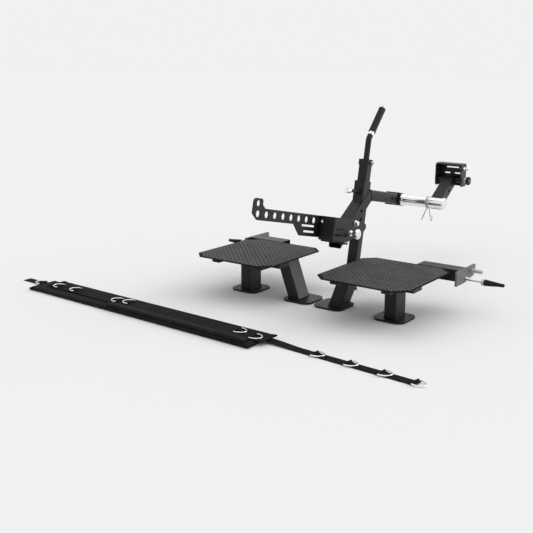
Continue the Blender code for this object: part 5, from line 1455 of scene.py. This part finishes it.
def blown_up(obj):
    """The points of a closed cover after some steps as cloth with air in it."""
    settings = obj.modifiers.new("Cloth", "CLOTH").settings
    settings.quality = 4
    settings.mass = COVER_MASS
    settings.use_pressure = True
    settings.uniform_pressure_force = COVER_PRESSURE
    settings.effector_weights.gravity = 0.0
    obj.modifiers["Cloth"].collision_settings.use_collision = False
    for number in range(1, COVER_STEPS + 1):
        bpy.context.scene.frame_set(number)
    points = point_array(obj.evaluated_get(bpy.context.evaluated_depsgraph_get()).data)
    obj.modifiers.clear()
    bpy.context.scene.frame_set(1)
    return points


def puff(name, low, high, finish, cap, floor, ceiling, voxel):
    """Foam in a sewn cover: a block is remeshed, blown up as cloth by cap at most, and held
    between floor and ceiling."""
    obj = link(name, block(low, high), finish, belt_at(0))
    remesh = obj.modifiers.new("remesh", "REMESH")
    remesh.mode = "VOXEL"
    remesh.voxel_size = voxel
    settle(obj)
    rest = point_array(obj.data)
    move = blown_up(obj) - rest
    far = np.linalg.norm(move, axis=1, keepdims=True)
    shape = rest + move * np.minimum(1.0, cap / np.maximum(far, 1e-9))
    shape[:, 2] = np.clip(shape[:, 2], floor, ceiling)
    obj.data.vertices.foreach_set("co", shape.ravel())
    obj.data.shade_smooth()
    smooth = obj.modifiers.new("smooth", "SUBSURF")
    smooth.levels = smooth.render_levels = 1
    settle(obj)
    return obj


def press_seam(obj, near, far):
    """Pulls the cover down along a sewn line that runs inside the edge."""
    for vertex in obj.data.vertices:
        x, y, z = vertex.co
        edge = min(x + PAD_LENGTH, -x, y - near, far - y)
        if z > PAD_HEIGHT / 2:
            vertex.co.z -= 0.0022 * math.exp(-((edge - PAD_SEAM) / 0.0035) ** 2)


def on_top(obj, points):
    """The same points, dropped on the piece's upper side."""
    tree = BVHTree.FromObject(obj, bpy.context.evaluated_depsgraph_get())
    laid = []
    for x, y in points:
        hit = tree.ray_cast(Vector((x, y, 0.2)), Vector((0, 0, -1)))[0]
        laid.append((x, y, (hit.z if hit else 0.0) + LAY_GAP))
    return laid


def along(start, end, count=1):
    one, two = Vector(start), Vector(end)
    return [tuple(one.lerp(two, i / count)) for i in range(count + 1)]


def make_pad():
    near, far = -PAD_WIDTH / 2 - 0.009, PAD_WIDTH / 2
    low, high = (-PAD_LENGTH + 0.001, near + 0.003, 0.0030), (-0.003, far - 0.003, 0.0130)
    pad = puff("belt_pad_cover", low, high, PAD_CLOTH, cap=0.0050, floor=0.0005,
               ceiling=PAD_HEIGHT - 0.0006, voxel=0.004)
    press_seam(pad, near, far)
    stand_for(pad, "belt_pad", edge=0)
    left, right, front, back = -PAD_LENGTH + PAD_SEAM, -PAD_SEAM, near + PAD_SEAM, far - PAD_SEAM
    corners = [(left, front), (right, front), (right, back), (left, back), (left, front)]
    runs = [on_top(pad, along(one, two, max(4, int(math.dist(one, two) / 0.02))))
            for one, two in zip(corners, corners[1:])]
    seam("pad_border_stitches", "belt_pad", runs, belt_at(0))

    low, high = (ROLL_START, ROLL_NEAR, 0.0185), (ROLL_END, ROLL_FAR, 0.0270)
    roll = puff("belt_pad_roll", low, high, ROLL_CLOTH, cap=0.0045, floor=PAD_HEIGHT - FIT_GAP,
                ceiling=0.0310, voxel=0.0030)
    attach(roll, "belt_pad")
    for word, y in (("near", ROLL_NEAR + 0.004), ("far", ROLL_FAR - 0.004)):
        points = along((ROLL_START + 0.004, y), (ROLL_END - 0.004, y), 40)
        seam(f"roll_{word}_stitches", "belt_pad", [on_top(roll, points)], belt_at(0))


def ring_level(surface):
    """Height of a ring's bar over the webbing that it is sewn on."""
    return surface + FIT_GAP + RING_WIRE + 0.0005


def make_keeper(name, node, surface, place, finish):
    """A fold of webbing over a ring's bar, sewn down before and behind it."""
    wall = KEEPER_WALL - 0.0004
    bore = RING_WIRE + FIT_GAP
    half = KEEPER_LENGTH / 2
    base = surface + LAY_GAP
    level = ring_level(surface)
    rise = [(-half, base), (-half * 0.72, base), (-bore - 0.0026, base + 0.0001),
            (-bore - 0.0012, base + 0.0006), (-bore - 0.0003, base + 0.0016)]
    arch = [(-bore * math.cos(a), level + bore * math.sin(a)) for a in np.linspace(0.0, math.pi, 13)]
    fall = [(-u, z) for u, z in reversed(rise)]
    side = RING_HALF - RING_WIRE - 0.0030
    trim(f"{name}_keeper", node, strap_shape(rise + arch + fall, side, wall, 6), finish, place)
    top, edge = base + wall, side - 0.003
    lines = [way * run for way in (-1, 1) for run in (bore + 0.0038, half - 0.0014)]
    seam(f"{name}_keeper_stitches", node, crossings(lines, edge, top), place, pitch=0.0034, length=0.0024)


def make_ring(name, place):
    """A D-ring of round wire: a straight bar, two tight corners and a bow."""
    corner = 0.0050
    start = math.asin(corner / RING_DEPTH) + 0.04
    points = [(0, y, 0) for y in np.linspace(-RING_HALF + corner, RING_HALF - corner, 9)]
    bend = [(corner - corner * math.cos(a), RING_HALF - corner + corner * math.sin(a), 0)
            for a in np.linspace(0.25, 1.30, 5)]
    bow = [(RING_DEPTH * math.sin(a), RING_HALF * math.cos(a), 0)
           for a in np.linspace(start, math.pi - start, 45)]
    points += bend + bow + [(x, -y, z) for x, y, z in reversed(bend)]
    ring = sweep(points, RING_WIRE, 14, closed=True)
    ring.shade_smooth()
    piece(name, "wire", ring, RING_CHROME, place, edge=0)


def sewn_ring(name, node, surface, place, finish, way=1, drop=0.0):
    """A ring and its keeper; way is the end of the belt that it points to, drop its lean."""
    make_keeper(name, node, surface, place, finish)
    level = shift(0, 0, ring_level(surface))
    make_ring(name, place @ level @ spin(90 - 90 * way, "Z") @ turn(drop, "Y"))


def make_top_strap():
    low = PAD_HEIGHT + FIT_GAP
    high = low + STRAP_THICKNESS
    half = TOP_STRAP_WIDTH / 2
    place = belt_at(0, TOP_STRAP_OFFSET)
    count = int((TOP_STRAP_END - TOP_STRAP_START) / STRAP_STEP)
    line = along((TOP_STRAP_START, low), (TOP_STRAP_END, low), count)
    mesh = strap_shape(line, half, STRAP_THICKNESS, 16)
    piece("top_strap", "webbing", mesh, STRAP_CLOTH, place, CLOTH_EDGE)
    edge = half - 0.0055
    left, right = TOP_STRAP_START + 0.006, TOP_STRAP_END - 0.006
    runs = borders(left, right, edge, high) + crossings((left, right), edge, high)
    runs += box_stitch(left + 0.008, left + 0.055, edge - 0.008, high)
    runs += box_stitch(right - 0.060, right - 0.014, edge - 0.008, high)
    seam("top_strap_stitches", "top_strap", runs, place)
    for word, x in (("left", TOP_STRAP_START), ("right", TOP_STRAP_END - 0.020)):
        line = along((x, high + LAY_GAP), (x + 0.020, high + LAY_GAP), 2)
        hem = strap_shape(line, half - 0.0004, 0.0018)
        trim(f"top_strap_{word}_hem", "top_strap", hem, STRAP_CLOTH, place, CLOTH_EDGE)
    for name, x, across, way in PAD_RINGS:
        sewn_ring(name, "top_strap", high, belt_at(x, across), STRAP_CLOTH, way)


def make_left_strap():
    half, high = STRAP_WIDTH / 2, STRAP_THICKNESS
    place = belt_at(-PAD_LENGTH - FIT_GAP + LEFT_STRAP_TUCK, STRAP_OFFSET - LEFT_STRAP_SHIFT)
    end = -LEFT_STRAP_LENGTH
    mesh = strap_shape(along((end, 0), (0, 0), int(LEFT_STRAP_LENGTH / STRAP_STEP)), half, high)
    piece("left_strap", "webbing", mesh, NARROW_CLOTH, place, CLOTH_EDGE)
    edge = half - 0.004
    runs = borders(end + 0.004, -LEFT_RING_AT - 0.016, edge, high)
    runs += box_stitch(end + 0.008, end + 0.040, edge - 0.004, high)
    seam("left_strap_stitches", "left_strap", runs, place)
    sewn_ring("left_ring", "left_strap", high, place @ shift(-LEFT_RING_AT), NARROW_CLOTH, -1)


def make_right_strap():
    half, high = STRAP_WIDTH / 2, STRAP_THICKNESS
    start = FIT_GAP + half * math.tan(abs(RIGHT_STRAP_YAW))
    place = belt_at(start, STRAP_OFFSET) @ turn(RIGHT_STRAP_YAW)
    shares = [i / 24 for i in range(25)]
    line = [(RIGHT_STRAP_FALL * share, RIGHT_STRAP_RISE * (1 + math.cos(math.pi * share)) / 2)
            for share in shares]
    count = int((RIGHT_STRAP_LENGTH - RIGHT_STRAP_FALL) / STRAP_STEP)
    line += along((RIGHT_STRAP_FALL, 0), (RIGHT_STRAP_LENGTH, 0), count)[1:]
    piece("right_strap", "webbing", strap_shape(line, half, high), NARROW_CLOTH, place, CLOTH_EDGE)
    edge = half - 0.004
    stops = [RIGHT_STRAP_FALL, *RIGHT_RINGS, END_RING_AT]
    runs = []
    for one, two in zip(stops, stops[1:]):
        runs += borders(one + 0.016, two - 0.015, edge, high)
        runs += box_stitch(two - 0.062, two - 0.020, edge - 0.004, high)
    seam("right_strap_stitches", "right_strap", runs, place)
    for i, x in enumerate(RIGHT_RINGS, 1):
        sewn_ring(f"right_ring_{i}", "right_strap", high, place @ shift(x), NARROW_CLOTH)
    last = place @ shift(END_RING_AT)
    sewn_ring("end_ring", "right_strap", high, last, NARROW_CLOTH, drop=END_RING_DROP)


# ---------------- studio

PALE = 0.879              # how bright the backdrop looks to the camera
FLOOR = 0.905             # colour of the floor
SKY_LIGHT = 0.720         # strength of the even light from all round
KEY_LIGHT = 0.55
SIDE_LIGHT = 1.30
FILL_LIGHT = 0.28
CAMERA_LENS = 55.05       # millimetres, on film 36 wide
CAMERA_AT = (1.892, -3.1565, 1.0362)
CAMERA_TURN = (math.radians(75.8), 0, math.radians(37.0))


def make_floor():
    bm = bmesh.new()
    bmesh.ops.create_grid(bm, x_segments=1, y_segments=1, size=40.0)
    finish = Finish("studio_floor", roughness=1.0, colour=(FLOOR, FLOOR, FLOOR), Specular_IOR_Level=0.0)
    link("studio_floor", to_mesh(bm), finish.material, shift(0, 0, -0.0004))


def make_world():
    """The sky lights the machine; the camera, and metal that mirrors it, see a pale backdrop instead."""
    world = bpy.data.worlds.new("studio")
    world.use_nodes = True
    world.node_tree.nodes.clear()
    bpy.context.scene.world = world
    sky = Graph(world.node_tree)
    rays = ("Is Camera Ray", "Is Glossy Ray", "Is Transmission Ray")
    camera, glossy, glass = (sky.node("LightPath", {}, {}, ray) for ray in rays)
    seen = camera.maths("MAXIMUM", glossy).maths("MAXIMUM", glass)
    light = sky.node("Background", {}, {"Color": (1, 1, 1, 1), "Strength": SKY_LIGHT})
    shown = sky.node("Background", {}, {"Color": (PALE, PALE, PALE, 1)})
    mixed = sky.node("MixShader", {}, {"Fac": seen, 1: light, 2: shown})
    output = world.node_tree.nodes.new("ShaderNodeOutputWorld")
    sky.feed(output.inputs["Surface"], mixed)


def make_sun(name, towards, strength, spread):
    """A broad lamp that shines from a direction; spread is its angle in degrees."""
    lamp = bpy.data.lights.new(name, "SUN")
    lamp.energy = strength
    lamp.angle = math.radians(spread)
    add(name, lamp).rotation_euler = Vector(towards).to_track_quat("Z", "Y").to_euler()


def make_camera():
    camera = bpy.data.cameras.new("photo_camera")
    camera.lens = CAMERA_LENS
    camera.sensor_width = 36.0
    camera.clip_start, camera.clip_end = 0.05, 200.0
    obj = add("photo_camera", camera)
    obj.location = CAMERA_AT
    obj.rotation_euler = CAMERA_TURN
    bpy.context.scene.camera = obj


def make_studio():
    make_floor()
    make_world()
    make_sun("key_light", (0.72, 0.52, 0.55), KEY_LIGHT, 50)
    make_sun("side_light", (0.62, 0.78, 0.14), SIDE_LIGHT, 60)
    make_sun("fill_light", (-0.30, 0.20, 1.00), FILL_LIGHT, 60)
    make_camera()
    bpy.context.scene.view_settings.view_transform = "Standard"


# ---------------- the machine

for way, word in SIDES:
    make_platform(way, word)
for make in (
    make_main_tube, make_diagonal, make_rear_arm, make_receiver, make_rest, make_socket,
    make_plungers, make_handle, make_belt_bracket, make_hook_plate, make_belt_bolt, make_sleeve,
    make_clip, make_pivot_bracket, make_axle, make_safety_pin, make_pad, make_top_strap,
    make_left_strap, make_right_strap, make_studio,
):
    make()

bpy.context.view_layer.update()
